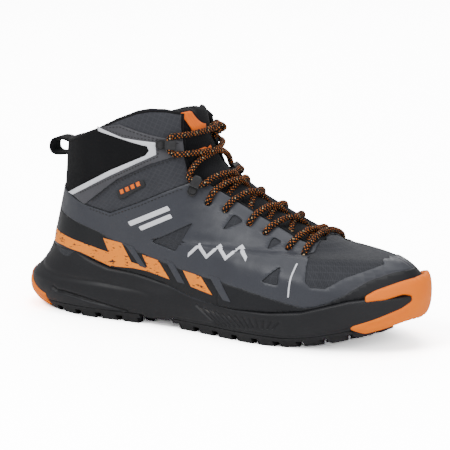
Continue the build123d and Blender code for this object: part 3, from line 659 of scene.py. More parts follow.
def mix(tree, factor, a, b):
    made = node(tree, "ShaderNodeMix", data_type="RGBA")
    for socket, value in ((0, factor), (6, a), (7, b)):
        if isinstance(value, tuple):
            made.inputs[socket].default_value = (*value, 1)
        elif isinstance(value, (int, float)):
            made.inputs[socket].default_value = value
        else:
            link(tree, value, made.inputs[socket])
    return made.outputs[2]


def bump(tree, shader, height, depth, strength=1.0, previous=None):
    """Adds relief to a shader: height 0..1 over a depth in mm."""
    made = node(tree, "ShaderNodeBump", inputs={"Strength": strength, "Distance": depth * MM})
    link(tree, height, made.inputs["Height"])
    if previous is not None:
        link(tree, previous, made.inputs["Normal"])
    link(tree, made.outputs["Normal"], shader.inputs["Normal"])
    return made.outputs["Normal"]


def waves(tree, vector, axis, pitch, low=0.0, high=1.0):
    """A sine from 0 to 1 along one coordinate, with the given pitch in mm."""
    split = node(tree, "ShaderNodeSeparateXYZ")
    link(tree, vector, split.inputs[0])
    turned = maths(tree, "SINE", maths(tree, "MULTIPLY", split.outputs[axis], 2 * pi / pitch))
    return maths(tree, "MULTIPLY_ADD", turned, (high - low) / 2, (high + low) / 2)


def woven(name, colour, thread, pitch, depth, roughness=0.85, ripstop=0.0, kind="UV", sheen=0.08, tilt=0.0):
    """Plain weave: two thread directions that pass over each other, with a coarser grid if it is ripstop. Its colour
    holds painted light: raised threads and the grid are painted lighter as a highlight, and the gaps between threads
    darker as painted shade.
    """
    made, tree, shader = material(name, colour, roughness, sheen_weight=sheen, sheen_roughness=0.5,
                                  specular_ior_level=0.15)
    vector = coordinates(tree, kind, rotation=(0, 0, tilt))
    across = waves(tree, vector, "X", pitch)
    along = waves(tree, vector, "Y", pitch)
    checker = waves(tree, vector, "X", pitch * 2, -1, 1)
    checker = maths(tree, "MULTIPLY", checker, waves(tree, vector, "Y", pitch * 2, -1, 1))
    over = maths(tree, "GREATER_THAN", checker, 0)
    height = maths(tree, "ADD", maths(tree, "MULTIPLY", across, over),
                   maths(tree, "MULTIPLY", along, maths(tree, "SUBTRACT", 1, over)))
    # painted light: the weave relief is copied into the colour, so raised threads get a painted highlight and the
    # gaps between them painted shade
    painted_relief_shade = height
    if ripstop:
        grid = maths(tree, "MAXIMUM", maths(tree, "POWER", waves(tree, vector, "X", ripstop), 14),
                     maths(tree, "POWER", waves(tree, vector, "Y", ripstop), 14))
        height = maths(tree, "ADD", height, grid)
        # painted highlight: the raised ripstop grid threads are painted lighter
        painted_relief_shade = maths(tree, "MULTIPLY_ADD", grid, 0.6, painted_relief_shade)
    cloud = noise(tree, coordinates(tree, "Object"), 0.06, 4)
    # half random clouds of tone, half the painted highlight and shade of the weave relief
    tone = maths(tree, "MULTIPLY_ADD", cloud, 0.5, maths(tree, "MULTIPLY", painted_relief_shade, 0.5), clamp=True)
    # the lighter thread colour is used both for random tone and for the painted highlight on raised threads
    link(tree, mix(tree, tone, colour, thread), shader.inputs["Base Color"])
    bump(tree, shader, height, depth)
    return made


def moulded(name, colour, dark, roughness=0.5, grain=0.5, grain_depth=0.05, cloud_scale=0.05, worn=0.0,
            worn_colour=(0.2, 0.2, 0.2), creases=0.0, **sockets):
    """Moulded rubber, foam or film: fine grain, faint clouds of tone, and lighter worn edges."""
    made, tree, shader = material(name, colour, roughness, **sockets)
    vector = coordinates(tree, "Object")
    clouds = noise(tree, vector, cloud_scale, 5, 0.6)
    tone = mix(tree, maths(tree, "MULTIPLY_ADD", clouds, 1.6, -0.3, clamp=True), dark, colour)
    if worn:
        geometry = node(tree, "ShaderNodeNewGeometry")
        edge = ramp(tree, geometry.outputs["Pointiness"], (0.5, 0.0), (0.56, 1.0))
        edge = maths(tree, "MULTIPLY", edge, maths(tree, "MULTIPLY", noise(tree, vector, 0.25, 3), worn))
        tone = mix(tree, edge, tone, worn_colour)
    link(tree, tone, shader.inputs["Base Color"])
    rough = maths(tree, "MULTIPLY_ADD", noise(tree, vector, cloud_scale * 3, 3), 0.22, roughness - 0.11)
    link(tree, rough, shader.inputs["Roughness"])
    fine = noise(tree, vector, 1 / grain, 2, 0.6)
    relief = bump(tree, shader, fine, grain_depth)
    if creases:
        bump(tree, shader, noise(tree, vector, 0.045, 2, 0.4), creases * 4, previous=relief)
    return made


mesh_fabric = woven("woven_mesh", (0.019, 0.02, 0.0235), (0.048, 0.05, 0.058), 0.8, 0.09, ripstop=4.8)
ripstop_fabric = woven("ripstop", (0.026, 0.027, 0.032), (0.062, 0.064, 0.074), 0.62, 0.07, ripstop=3.4, tilt=0.4)
stretch_fabric = woven("stretch_knit", (0.003, 0.003, 0.0035), (0.008, 0.008, 0.0095), 0.5, 0.06, sheen=0.02)
lining_fabric = woven("spacer_mesh", (0.004, 0.004, 0.0045), (0.016, 0.016, 0.018), 1.5, 0.3, sheen=0.05)
binding_fabric = woven("knit_tape", (0.004, 0.004, 0.0045), (0.012, 0.012, 0.014), 0.9, 0.15, kind="Object",
                       sheen=0.03)
tongue_fabric = woven("tongue_knit", (0.004, 0.004, 0.0048), (0.013, 0.0135, 0.016), 0.9, 0.14, sheen=0.03)
footbed_fabric = woven("footbed_knit", (0.02, 0.02, 0.022), (0.06, 0.06, 0.065), 0.9, 0.12, kind="Object")
webbing_fabric = woven("webbing", (0.004, 0.004, 0.0045), (0.013, 0.013, 0.015), 1.1, 0.25, kind="Object",
                       sheen=0.02)
film = moulded("overlay_film", (0.045, 0.048, 0.059), (0.035, 0.037, 0.046), 0.42, grain=0.35, grain_depth=0.02,
               cloud_scale=0.03, creases=0.5, specular_ior_level=0.35)
band_leather = moulded("band_leather", (0.074, 0.074, 0.083), (0.056, 0.056, 0.064), 0.5, grain=0.5,
                       grain_depth=0.035, creases=0.35, specular_ior_level=0.3)
dark_film = moulded("dark_film", (0.008, 0.0085, 0.0105), (0.005, 0.0055, 0.007), 0.45, grain=0.4, grain_depth=0.03,
                    specular_ior_level=0.3)
rand_film = moulded("rand_film", (0.010, 0.0105, 0.0135), (0.007, 0.0075, 0.0095), 0.5, grain=0.5, grain_depth=0.04,
                    specular_ior_level=0.3)
pale_film = moulded("pale_film", (0.8, 0.81, 0.86), (0.72, 0.73, 0.78), 0.35, grain=0.3, grain_depth=0.012)
foam_skin = moulded("foam_skin", (0.010, 0.0102, 0.0128), (0.0065, 0.0067, 0.0085), 0.48, grain=0.55,
                    grain_depth=0.05, worn=0.35, worn_colour=(0.04, 0.041, 0.047), specular_ior_level=0.35)
black_rubber = moulded("black_rubber", (0.012, 0.012, 0.0135), (0.008, 0.008, 0.009), 0.6, grain=0.7,
                       grain_depth=0.08, worn=0.4, worn_colour=(0.04, 0.04, 0.044), specular_ior_level=0.3)
orange_rubber = moulded("orange_rubber", (1.0, 0.23, 0.002), (1.0, 0.19, 0.001), 0.6, grain=0.6,
                        grain_depth=0.05, specular_ior_level=0.25)
metal_black = moulded("black_metal", (0.008, 0.008, 0.009), (0.005, 0.005, 0.006), 0.38, grain=0.4,
                      grain_depth=0.015, worn=0.4, worn_colour=(0.06, 0.06, 0.064), specular_ior_level=0.4)
thread_dark = moulded("dark_thread", (0.018, 0.018, 0.02), (0.01, 0.01, 0.012), 0.7, grain=0.2, grain_depth=0.05)
orange_label = woven("orange_label", (0.85, 0.13, 0.008), (1.0, 0.21, 0.015), 0.5, 0.08, kind="Object", sheen=0.1)
plastic_black = moulded("aglet", (0.012, 0.012, 0.013), (0.008, 0.008, 0.009), 0.3)
board_material = moulded("board", (0.12, 0.11, 0.1), (0.09, 0.085, 0.08), 0.8)


def printed_orange():
    """Orange print on the heel band, with scratches and chips where the black film shows through."""
    made, tree, shader = material("orange_print", (1.0, 0.3, 0.02), 0.6, specular_ior_level=0.25)
    vector = coordinates(tree, "Object")
    chips = noise(tree, coordinates(tree, "Object", scale=(0.5, 0.5, 1.3)), 0.32, 6, 0.7)
    fine = noise(tree, vector, 1.6, 3, 0.6)
    patches = noise(tree, vector, 0.07, 2)
    level = maths(tree, "MULTIPLY_ADD", fine, 0.12, maths(tree, "MULTIPLY_ADD", patches, 0.22, chips))
    worn = ramp(tree, level, (0.755, 0.0), (0.775, 1.0))
    tone = mix(tree, noise(tree, vector, 0.2, 3), (1.0, 0.24, 0.012), (1.0, 0.31, 0.025))
    link(tree, mix(tree, worn, tone, (0.012, 0.012, 0.014)), shader.inputs["Base Color"])
    bump(tree, shader, fine, 0.03)
    return made


orange_print = printed_orange()


def braided_cord():
    """Black braided lace with orange and cream flecks; the colours come from the mesh's strands."""
    made, tree, shader = material("braid", (0.012, 0.012, 0.013), 0.75, specular_ior_level=0.15)
    strands = node(tree, "ShaderNodeAttribute", attribute_name="strand")
    fuzz = noise(tree, coordinates(tree, "Object"), 2.2, 2)
    dark = mix(tree, fuzz, (0.004, 0.004, 0.0045), (0.014, 0.013, 0.013))
    light = mix(tree, fuzz, (0.5, 0.1, 0.012), (0.8, 0.27, 0.05))
    cream = mix(tree, fuzz, (0.7, 0.42, 0.18), (0.85, 0.62, 0.35))
    first = maths(tree, "COMPARE", strands.outputs["Fac"], 1.0, 0.3)
    second = maths(tree, "COMPARE", strands.outputs["Fac"], 2.0, 0.3)
    link(tree, mix(tree, second, mix(tree, first, dark, light), cream), shader.inputs["Base Color"])
    bump(tree, shader, fuzz, 0.08)
    return made


braid = braided_cord()


# ---------------------------------------------------------------- stage
WORLD_LIGHT = 0.5
WORLD_SEEN = 12.0
FLOOR_SEEN = 9.0


def soft_light(name, place, size, power, colour=(1, 1, 1)):
    data = bpy.data.lights.new(name, "AREA")
    data.energy = power
    data.size = size
    data.color = colour
    lamp = bpy.data.objects.new(name, data)
    bpy.context.scene.collection.objects.link(lamp)
    lamp.location = place
    lamp.rotation_mode = "QUATERNION"
    lamp.rotation_quaternion = (Vector((0, 0, 0.06)) - Vector(place)).to_track_quat("-Z", "Y")


def bright_to_camera(tree, usual, seen):
    """A value that is higher in what the camera sees directly, so that the backdrop is pure white."""
    rays = node(tree, "ShaderNodeLightPath")
    return maths(tree, "MULTIPLY_ADD", rays.outputs["Is Camera Ray"], seen - usual, usual)


def white_floor():
    made = bpy.data.materials.new("floor")
    made.use_nodes = True
    tree = made.node_tree
    tree.nodes.clear()
    diffuse, output = node(tree, "ShaderNodeBsdfDiffuse"), node(tree, "ShaderNodeOutputMaterial")
    level = bright_to_camera(tree, 0.8, FLOOR_SEEN)
    colour = node(tree, "ShaderNodeCombineColor")
    for channel in colour.inputs:
        link(tree, level, channel)
    link(tree, colour.outputs[0], diffuse.inputs["Color"])
    link(tree, diffuse.outputs[0], output.inputs["Surface"])
    return made


def build_stage():
    mesh = bpy.data.meshes.new("floor")
    size = 6
    mesh.from_pydata([(-size, -size, 0), (size, -size, 0), (size, size, 0), (-size, size, 0)], [], [(0, 1, 2, 3)])
    mesh.materials.append(white_floor())
    floor = bpy.data.objects.new("floor", mesh)
    bpy.context.scene.collection.objects.link(floor)
    world = bpy.data.worlds.new("studio")
    world.use_nodes = True
    world.node_tree.nodes["Background"].inputs["Color"].default_value = (1, 1, 1, 1)
    background = world.node_tree.nodes["Background"]
    link(world.node_tree, bright_to_camera(world.node_tree, WORLD_LIGHT, WORLD_SEEN), background.inputs["Strength"])
    bpy.context.scene.world = world
    soft_light("key", (-0.5, -1.3, 1.5), 1.0, 22)
    soft_light("fill", (1.4, -0.9, 0.7), 1.2, 12)
    soft_light("top", (0.1, 0.1, 1.9), 1.2, 18)
    soft_light("rim", (-0.6, 1.2, 1.0), 1.0, 8)


build_stage()

# ---------------------------------------------------------------- outlines, in (distance from heel, height)
LACE_HOLES = [(233, 62.3), (220, 65.3), (201, 73.5), (188, 78.4), (169, 86), (156, 90)]
HOLE_RADIUS = 2.3
VAMP_SEAM = 224
TOP = 160.0
HEEL_END, TOE_END = -8, 320
BITE_LINE = [(HEEL_END, 47), (52, 46), (66, 41.5), (81, 37.5), (103, 36), (129, 32), (151, 27), (172, 24.5),
             (190, 23.5), (218, 24.5), (242, 27.5), (261, 33), (275, 37), (290, 39), (TOE_END, 41)]
COLLAR_LINE = [(HEEL_END, 116), (20, 117), (40, 121), (58, 128.5), (70, 133.5), (87, 142), (104, 149),
               (113, 151), (123, 151), (131.5, 149)]
MEDIAL_COLLAR = [(HEEL_END, 116), (20, 117), (40, 121), (58, 127), (70, 130), (87, 135.5), (104, 141),
                 (113, 142.8), (123, 142.6), (131.8, 141)]
THROAT_LINE = [(131.5, 149), (132, 140), (136, 119), (141, 110), (147, 105), (153, 102.5), (159, 99),
               (177, 90), (196, 81.5), (208, 76.5), (220, 71.5), (229, 68.5), (236, 68.5), (239, 75)]
CUFF_SEAM = [(HEEL_END, 92), (22, 90), (41, 85), (59, 79.5), (82, 76.5), (107, 87), (126, 96), (142, 103)]
HEEL_BAND_LINE = [(HEEL_END, 76), (24, 74), (40, 69.5), (73, 61.5), (98, 53.5), (120, 48), (141, 44),
                  (160, 42), (176, 41)]
RAND_LINE = [(176, 41), (200, 37.5), (218, 34.5), (233, 31.5), (242, 30), (250, 31.2), (259, 34.2), (269, 39.5),
             (283, 49.5), (295, 54), (TOE_END, 57)]
PANEL_EDGE = [(HEEL_END, 92), (22, 90), (41, 85), (82, 107), (111, 120.5), (113.5, 124), (112, 127),
              (72, 133.8)]
TRIM_EDGE = [(71, 137), (92, 131.5), (117.5, 130), (118.5, 121.5), (82, 103.2), (47, 84.4)]
WINDOWS = [
    [(116, 60), (148, 76.5), (137, 55.5)],
    [(175.5, 84), (184, 79.5), (170.5, 73)],
    [(207, 71.5), (215, 68.5), (206, 63)],
    [(222.5, 56), (224, 43.5), (210.5, 45)]]
TOE_WINDOW = [(237, TOP), (237, 66), (239.5, 56), (243, 47), (247, 44), (257, 44), (267, 50.5), (287, 58.5),
              (284, 61), (283.5, TOP)]
FABRIC_FOOT = [(HEEL_END, 36), (103, 30), (151, 21), (190, 18), (218, 18), (242, 21), (261, 27), (TOE_END, 33)]


def raised(line, amount):
    return [(distance, height + amount) for distance, height in line]


def line_height(line, distance):
    return np.interp(distance, [p[0] for p in line], [p[1] for p in line])


def upto(line, distance):
    """The part of a line up to a distance from the heel."""
    kept = [p for p in line if p[0] < distance]
    a, b = kept[-1], line[len(kept)]
    return kept + [(distance, a[1] + (b[1] - a[1]) * (distance - a[0]) / (b[0] - a[0]))]


def beyond(line, distance):
    kept = [p for p in line if p[0] > distance]
    a, b = line[len(line) - len(kept) - 1], kept[0]
    return [(distance, a[1] + (b[1] - a[1]) * (distance - a[0]) / (b[0] - a[0]))] + kept


def under_collar(outline, side, gap=0.0, close=True):
    """An outline cut to the medial side's lower collar; the lateral side's is left as it is."""
    if side == LATERAL:
        return outline
    return [(d, min(z, line_height(MEDIAL_COLLAR, d) - gap) if d < 134 else z)
            for d, z in sampled(outline, 1.0, close=close)]


def lace_holes(side, first=0, last=320):
    """Round holes at the lace's places, as outlines seen from the side."""
    outlines = []
    for distance, height in LACE_HOLES:
        if not first <= distance < last:
            continue
        turn = UPPER.turn_at(np.array([distance]), np.array([height]), side)[0]
        centre = UPPER.point(turn, np.array([height]))[0]
        outward = UPPER.normal(turn, np.array([height]))[0]
        across = np.cross(outward, (0, 0, 1))
        across /= np.linalg.norm(across)
        along = np.cross(outward, across)
        angles = np.linspace(0, 2 * pi, 12, endpoint=False)
        ring = [centre + HOLE_RADIUS * (across * cos(a) + along * sin(a)) for a in angles]
        outlines.append([(x + HALF, z) for x, _, z in ring])
    return outlines


def finish_piece(piece, body, slot, *replaced):
    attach(piece, body)
    if replaced:
        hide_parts(*replaced)
    return piece


# ---------------------------------------------------------------- fabric panels under the film
vamp_outline = (beyond(FABRIC_FOOT, VAMP_SEAM) + [(TOE_END, TOP), (238, TOP), (238, 75), (236, 68.5)]
                + [(229, 68.5), (VAMP_SEAM, 70.2)])
quarter_outline = (upto(FABRIC_FOOT, VAMP_SEAM) + [(VAMP_SEAM, 70.2)]
                   + [p for p in THROAT_LINE if 141 < p[0] < VAMP_SEAM][::-1] + CUFF_SEAM[::-1])
vamp = panel("vamp_mesh", mesh_fabric, lambda side: [vamp_outline] + lace_holes(side, VAMP_SEAM), low=-1.5,
             thick=1.5, rim=0, cell=2.2)
finish_piece(vamp, "boot", "upper_mesh", "vamp")
cuff_outline = (CUFF_SEAM[2:] + [p for p in THROAT_LINE if p[0] < 141][::-1]
                + COLLAR_LINE[:3:-1] + [(72, 133.8)] + [(112, 127), (113.5, 124), (111, 120.5), (82, 107)])
for side, word in SIDES:
    quarter = panel(f"quarter_mesh_{word}", mesh_fabric, [quarter_outline] + lace_holes(side, 0, VAMP_SEAM),
                    low=-1.5, thick=1.5, rim=0, cell=2.2, sides=(side,), from_front=False)
    finish_piece(quarter, "boot", "upper_mesh", f"quarter_{word}")
    cuff = panel(f"ankle_ripstop_{word}", ripstop_fabric, [cuff_outline], low=-1.5, thick=1.5, rim=0,
                 sides=(side,), from_front=False, wave=0.25, wave_size=24, seed=4)
    finish_piece(cuff, "boot", "ankle_textile", f"ankle_cuff_{word}")
panel_outline = PANEL_EDGE[:7] + [(72, 133.8), (70, 133.5), (58, 128.5), (40, 121), (20, 117), (HEEL_END, 116)]
heel = panel("heel_stretch_panel", stretch_fabric, [panel_outline], low=-1.5, thick=1.5, rim=0,
             from_front=False, shape=lambda d, z, away: 0.8 * np.clip(away / 12, 0, 1))
finish_piece(heel, "boot", "heel_textile", "heel_panel")

# ---------------------------------------------------------------- film overlay with its windows
overlay_outline = (HEEL_BAND_LINE + RAND_LINE[1:] + [(TOE_END, TOP), (238, TOP), (238, 75), (236, 68.5)]
                   + [p for p in THROAT_LINE if 141 < p[0] < 236][::-1] + CUFF_SEAM[::-1])
for side, word in SIDES:
    overlay = panel(f"film_overlay_{word}", film, [overlay_outline, TOE_WINDOW, *[rounded(w, 2.5) for w in WINDOWS]]
                    + lace_holes(side), thick=0.8, sides=(side,), rim=0.5)
    finish_piece(overlay, "boot", "overlay_film", f"overlay_{word}")
    trim = panel(f"chevron_{word}", pale_film, [PANEL_EDGE[2:] + TRIM_EDGE], thick=0.8, sides=(side,), rim=0.4,
                 from_front=False)
    finish_piece(trim, "boot", "light_trim", f"chevron_trim_{word}")

# ---------------------------------------------------------------- heel band and toe rand
band = panel("heel_band", dark_film, [upto(BITE_LINE, 176) + [(176, 41)] + HEEL_BAND_LINE[-2::-1]],
             thick=0.8, rim=0.4, from_front=False)
finish_piece(band, "boot", "heel_band_film", "heel_wrap")
rand = panel("toe_rand_film", rand_film, [beyond(BITE_LINE, 176) + RAND_LINE[::-1]], thick=0.8, rim=0.4)
finish_piece(rand, "boot", "overlay_film", "toe_rand")

# ---------------------------------------------------------------- stitched ankle band, labels and pale marks
BAND_OUTER = [(59, 79.7), (88, 101.5), (114, 114.6), (135.5, 122.5), (133.5, 131), (114, 135), (90, 140.5),
              (70, 136)]
band_outline = TRIM_EDGE[1:][::-1] + [(71, 136.5)] + BAND_OUTER[::-1]
ANKLE_BARS = [[(97, 72), (128, 86.4), (130.5, 83.6), (99.5, 69.2)],
              [(106, 69.5), (130.4, 81), (132.4, 78.4), (108, 66.9)]]
SIDE_LABEL = [(88, 92.5), (109.5, 103.4), (111.2, 99), (92, 87.6), (89.5, 88)]
ZIGZAG = [(148, 56), (156, 63.5), (164, 57), (172, 64.5), (180, 58), (188, 65.5), (196, 59),
          (196, 56), (188, 62.5), (180, 55), (172, 61.5), (164, 54), (156, 60.5), (148, 53)]
REFLECTOR = [(232, 57.5), (233.1, 57.5), (232.5, 36.6), (231.4, 36.6)]
for side, word in SIDES:
    ankle_band = panel(f"ankle_band_{word}", band_leather, [band_outline], thick=0.75, sides=(side,), rim=0.5,
                       from_front=False, wave=0.15, wave_size=22, seed=7)
    finish_piece(ankle_band, "boot", "overlay_film")
    bars = panel(f"pale_bars_{word}", pale_film, ANKLE_BARS, low=0.75, thick=0.3, sides=(side,), rim=0.3, cell=1.6,
                 corner=0.8, from_front=False, sink=0.2)
    finish_piece(bars, "boot", "light_trim")
    zigzag = panel(f"pale_zigzag_{word}", pale_film, [ZIGZAG], low=0.75, thick=0.3, sides=(side,), rim=0.3,
                   cell=1.6, from_front=False, sink=0.2)
    finish_piece(zigzag, "boot", "light_trim")
    line = panel(f"pale_line_{word}", pale_film, [REFLECTOR], low=0.75, thick=0.3, sides=(side,), rim=0.3,
                 cell=1.2, from_front=False, sink=0.2)
    finish_piece(line, "boot", "light_trim")
woven_tab = panel("side_label_tab", thread_dark, [SIDE_LABEL], thick=0.9, sides=(LATERAL,), rim=0.4, cell=1.6,
                  corner=1.5, from_front=False)
finish_piece(woven_tab, "boot", "woven_label", "side_label")
LABEL_BARS = [[(91.5 + 4.4 * i, 91 + 2.25 * i), (94.2 + 4.4 * i, 92.4 + 2.25 * i),
               (93 + 4.4 * i, 95.2 + 2.25 * i), (90.3 + 4.4 * i, 93.8 + 2.25 * i)] for i in range(4)]
label_print = panel("side_label_pattern", orange_label, LABEL_BARS, low=0.8, thick=0.25, sides=(LATERAL,), rim=0.2,
                    cell=1.2, from_front=False, sink=0.1)
finish_piece(label_print, "boot", "woven_label")

# ---------------------------------------------------------------- orange print and grey bars on the heel band
STRIPE = [(HEEL_END, 58.2), (26, 57.2), (40, 55.5), (59.2, 52.3), (81.4, 48.3), (76.5, 58), (91.9, 56.3),
          (99.9, 43.6), (113.6, 41.2), (108.8, 50), (122.2, 47.6), (132.7, 35.5), (114, 38.6), (101.7, 39.5),
          (82.2, 38.6), (57, 45.6), (40, 48), (HEEL_END, 48.8)]
BLOCK = [(144.7, 43.6), (160.5, 42.2), (171.5, 30.6), (152.4, 33.6)]
GREY_BARS = [[(94, 56.3), (101.5, 54.6), (112.5, 40.6), (107, 41.6)],
             [(128, 49), (135.5, 47.3), (147, 34.5), (140, 34.8)],
             [(168, 43.7), (177, 42.8), (187.5, 28), (181, 28.5)]]
printed = panel("orange_stripe", orange_print, [STRIPE, BLOCK], low=0.75, thick=0.25, rim=0.25, cell=1.8,
                from_front=False, sink=0.15)
finish_piece(printed, "boot", "heel_band_film")
bars = panel("grey_bars", film, GREY_BARS, low=0.75, thick=0.35, rim=0.3, cell=1.8, from_front=False, sink=0.2)
finish_piece(bars, "boot", "overlay_film")


# ---------------------------------------------------------------- stitching
def stitch_row(name, line, side, rise, pitch=2.9, length=1.9, radius=0.34):
    """Short thread stitches along a side-view line."""
    places = np.array(sampled(under_collar(line, side, 1.8, close=False), 0.5, close=False))
    turns, reached = UPPER.turn_at(places[:, 0], places[:, 1], side)
    places, turns = places[reached], turns[reached]
    route = UPPER.place(turns, places[:, 1], np.full(len(turns), rise))
    normals = UPPER.normal(turns, places[:, 1])
    along = np.concatenate([[0], np.cumsum(np.linalg.norm(np.diff(route, axis=0), axis=1))])
    points, faces = [], []
    shares = (-0.5, -0.42, -0.2, 0.2, 0.42, 0.5)
    fatness = (0.3, 0.8, 1.0, 1.0, 0.8, 0.3)
    for middle in np.arange(pitch, along[-1] - pitch / 2, pitch):
        centre = np.array([np.interp(middle, along, route[:, k]) for k in range(3)])
        ahead = np.array([np.interp(middle + 0.6, along, route[:, k]) for k in range(3)]) - centre
        ahead /= np.linalg.norm(ahead)
        outward = np.array([np.interp(middle, along, normals[:, k]) for k in range(3)])
        across = np.cross(outward, ahead)
        start = len(points)
        for share, fat in zip(shares, fatness):
            for k in range(6):
                angle = 2 * pi * k / 6
                dip = -0.5 * radius * abs(2 * share) ** 3
                points.append(centre + ahead * share * length
                              + (across * cos(angle) + outward * sin(angle)) * radius * fat + outward * dip)
        for ring in range(len(shares) - 1):
            for k in range(6):
                a, b = start + ring * 6 + k, start + ring * 6 + (k + 1) % 6
                faces.append((a, b, b + 6, a + 6))
        faces.append(tuple(start + k for k in range(5, -1, -1)))
        faces.append(tuple(start + (len(shares) - 1) * 6 + k for k in range(6)))
    piece = new_mesh(name, points, faces, thread_dark)
    return finish_piece(piece, "boot", "overlay_film")


CUFF_STITCH = [(62, 77.7), (82, 74.4), (107, 84.8), (126, 93.8), (139, 99.3)]
BAND_STITCH_LOW = [(64, 81.8), (88, 99.6), (114, 112.8), (134.5, 120.6)]
BAND_STITCH_HIGH = [(74, 136), (90, 138.9), (114, 133.4), (133.2, 129)]
TRIM_STITCH = [(53, 86.3), (82, 101.2), (119.8, 120.3), (119.2, 131.2), (93, 133.2), (76, 136.2)]
for side, word in SIDES:
    stitch_row(f"cuff_stitches_{word}", CUFF_STITCH, side, 0.85)
    stitch_row(f"band_low_stitches_{word}", BAND_STITCH_LOW, side, 0.8)
    stitch_row(f"band_high_stitches_{word}", BAND_STITCH_HIGH, side, 0.8)
    stitch_row(f"chevron_stitches_{word}", TRIM_STITCH, side, 0.8, pitch=2.6, length=1.6)


# ---------------------------------------------------------------- midsole
WEB_TOP = [(HEEL_END, 7.5), (110, 7.5), (113, 5.5), (131, 5.5), (134, 7.5), (228, 7.5), (250, 10.5), (270, 15),
           (291, 21.5), (306, 28.5), (TOE_END, 34.5)]
BOARD_LINE = [(HEEL_END, 27), (60, 26), (100, 23), (140, 19), (180, 16), (215, 15), (245, 17.5), (270, 23),
              (290, 28.5), (TOE_END, 36)]
HEEL_GROOVE = [(36, 18.5), (40, 16.6), (47, 16.5), (62, 14.8), (75, 12.7), (98, 8.4)]
SHOULDER = [(10, 34), (14, 31), (23, 28.3), (38, 26.8), (74, 27.2), (107, 25), (125, 21)]
RIBS = [((157 + 5.75 * i, 21.5 - 2.7 * min(i / 4, 1)), (176 + 3.83 * i, 9.6 + 4.6 * i / 12)) for i in range(13)]


def on_line(form, turns, line):
    """Heights at which a surface meets a side-view line, for each turn."""
    heights = np.full(len(turns), 25.0)
    for _ in range(60):
        rear, front = form.ends(heights)
        target = line_height(line, rear + (front - rear) * (1 - np.cos(turns)) / 2)
        heights += (np.clip(target, form.heights[0], form.heights[-1]) - heights) * 0.5
    return heights


def line_distance(distance, height, line):
    ends = np.array(line, float)
    return segment_distance(np.stack([distance, height], axis=-1), ends[:-1], ends[1:])


def sole_relief(distance, height):
    """Grooves, shoulder and ribs of the foam wall, in mm outwards."""
    relief = -2.3 * np.exp(-(line_distance(distance, height, HEEL_GROOVE) / 1.0) ** 2)
    above = np.clip((height - line_height(SHOULDER, distance)) / 3, -1, 1)
    fade = np.clip((125 - distance) / 40, 0, 1) * np.clip((distance - 6) / 10, 0, 1)
    relief -= 0.8 * fade * np.exp(-(above / 0.5) ** 2)
    for top, foot in RIBS:
        relief -= 1.1 * np.exp(-(line_distance(distance, height, [top, foot]) / 0.85) ** 2)
    hollow = np.exp(-(((distance - 190) / 38) ** 4)) * np.exp(-(((height - 15) / 7.5) ** 4))
    relief -= 0.5 * hollow
    seam = [(134, 9.2), (228, 9.2), (250, 12.2), (270, 16.8), (280, 19.8)]
    relief -= 0.5 * np.exp(-(line_distance(distance, height, seam) / 0.6) ** 2)
    return relief


def build_midsole():
    rows = 46
    base = np.linspace(0, 2 * pi, 1441)
    ring = SOLE.point(base, 24.0)
    along = np.concatenate([[0], np.cumsum(np.linalg.norm(np.diff(ring, axis=0), axis=1))])
    turns = np.interp(np.arange(0, along[-1] - 0.5, 0.95), along, base)
    count = len(turns)
    low = on_line(SOLE, turns, WEB_TOP)
    high = on_line(SOLE, turns, BITE_LINE)
    rings = []
    foot = SOLE.place(turns, low, np.full(count, -0.4))
    centre = foot.copy()
    centre[:, 1] = 0
    rings += [centre, foot * (1, 0.5, 1), foot]
    for share in np.linspace(0, 1, rows):
        height = low + (high - low) * share
        rear, front = SOLE.ends(height)
        distance = rear + (front - rear) * (1 - np.cos(turns)) / 2
        rise = sole_relief(distance, height)
        rim = np.clip(1 - (high - height) / 2.0, 0, 1)
        rise -= 1.6 * (1 - np.sqrt(1 - rim ** 2 * 0.98))
        rise -= 0.5 * np.clip(1 - (height - low) / 0.8, 0, 1) ** 2
        rings.append(SOLE.place(turns, height, rise))
    inner_high = on_line(UPPER, turns, raised(BITE_LINE, 0.3))
    rings.append(UPPER.place(turns, inner_high, np.full(count, -0.2)))
    inner_low = on_line(UPPER, turns, BOARD_LINE)
    rings.append(UPPER.place(turns, inner_low, np.full(count, -1.2)))
    floor = rings[-1].copy()
    floor[:, 1] = 0
    rings += [rings[-1] * (1, 0.5, 1), floor]
    points = np.concatenate(rings)
    total = len(rings)
    faces = []
    for r in range(total - 1):
        for i in range(count):
            j = (i + 1) % count
            faces.append((r * count + i, r * count + j, (r + 1) * count + j, (r + 1) * count + i))
    piece = new_mesh("midsole_foam", points, faces, foam_skin)
    weld = piece.modifiers.new("weld", "WELD")
    weld.merge_threshold = 0.00002
    return finish_piece(piece, "boot", "midsole_foam", "midsole")


build_midsole()
HEEL_PAD = [(HEEL_END, 27), (5.4, 26.8), (8, 22.5), (12, 19), (19, 15.2), (29, 12.6), (30, 2.2), (HEEL_END, 2)]
pad = panel("heel_pad_rubber", orange_rubber, [HEEL_PAD], low=-3, thick=3.5, form=SOLE, rim=1.2, cell=1.5,
            corner=1.5,
            sink=-2.2, from_front=False)
finish_piece(pad, "boot", "bumper_rubber", "heel_crash_pad")

# ---------------------------------------------------------------- toe bumper
BUMPER = [(285.5, 41.5), (291, 45.3), (296.2, 47.6), (303, 50.4), (309, 51.6), (TOE_END, 51.8),
          (TOE_END, 18), (306, 22), (292, 16.6), (281.9, 13.6), (275.4, 17.4), (277, 20.3), (289.7, 24.9),
          (304.1, 32.1), (308.8, 36.4), (308.6, 39.8), (305.3, 41.3), (296.9, 38.4), (285.7, 37.1)]
NOTCHES = [[(286.4, 20.2), (291.6, 22)], [(295, 23), (299.2, 24.9)], [(302.8, 26.6), (306, 28.8)]]


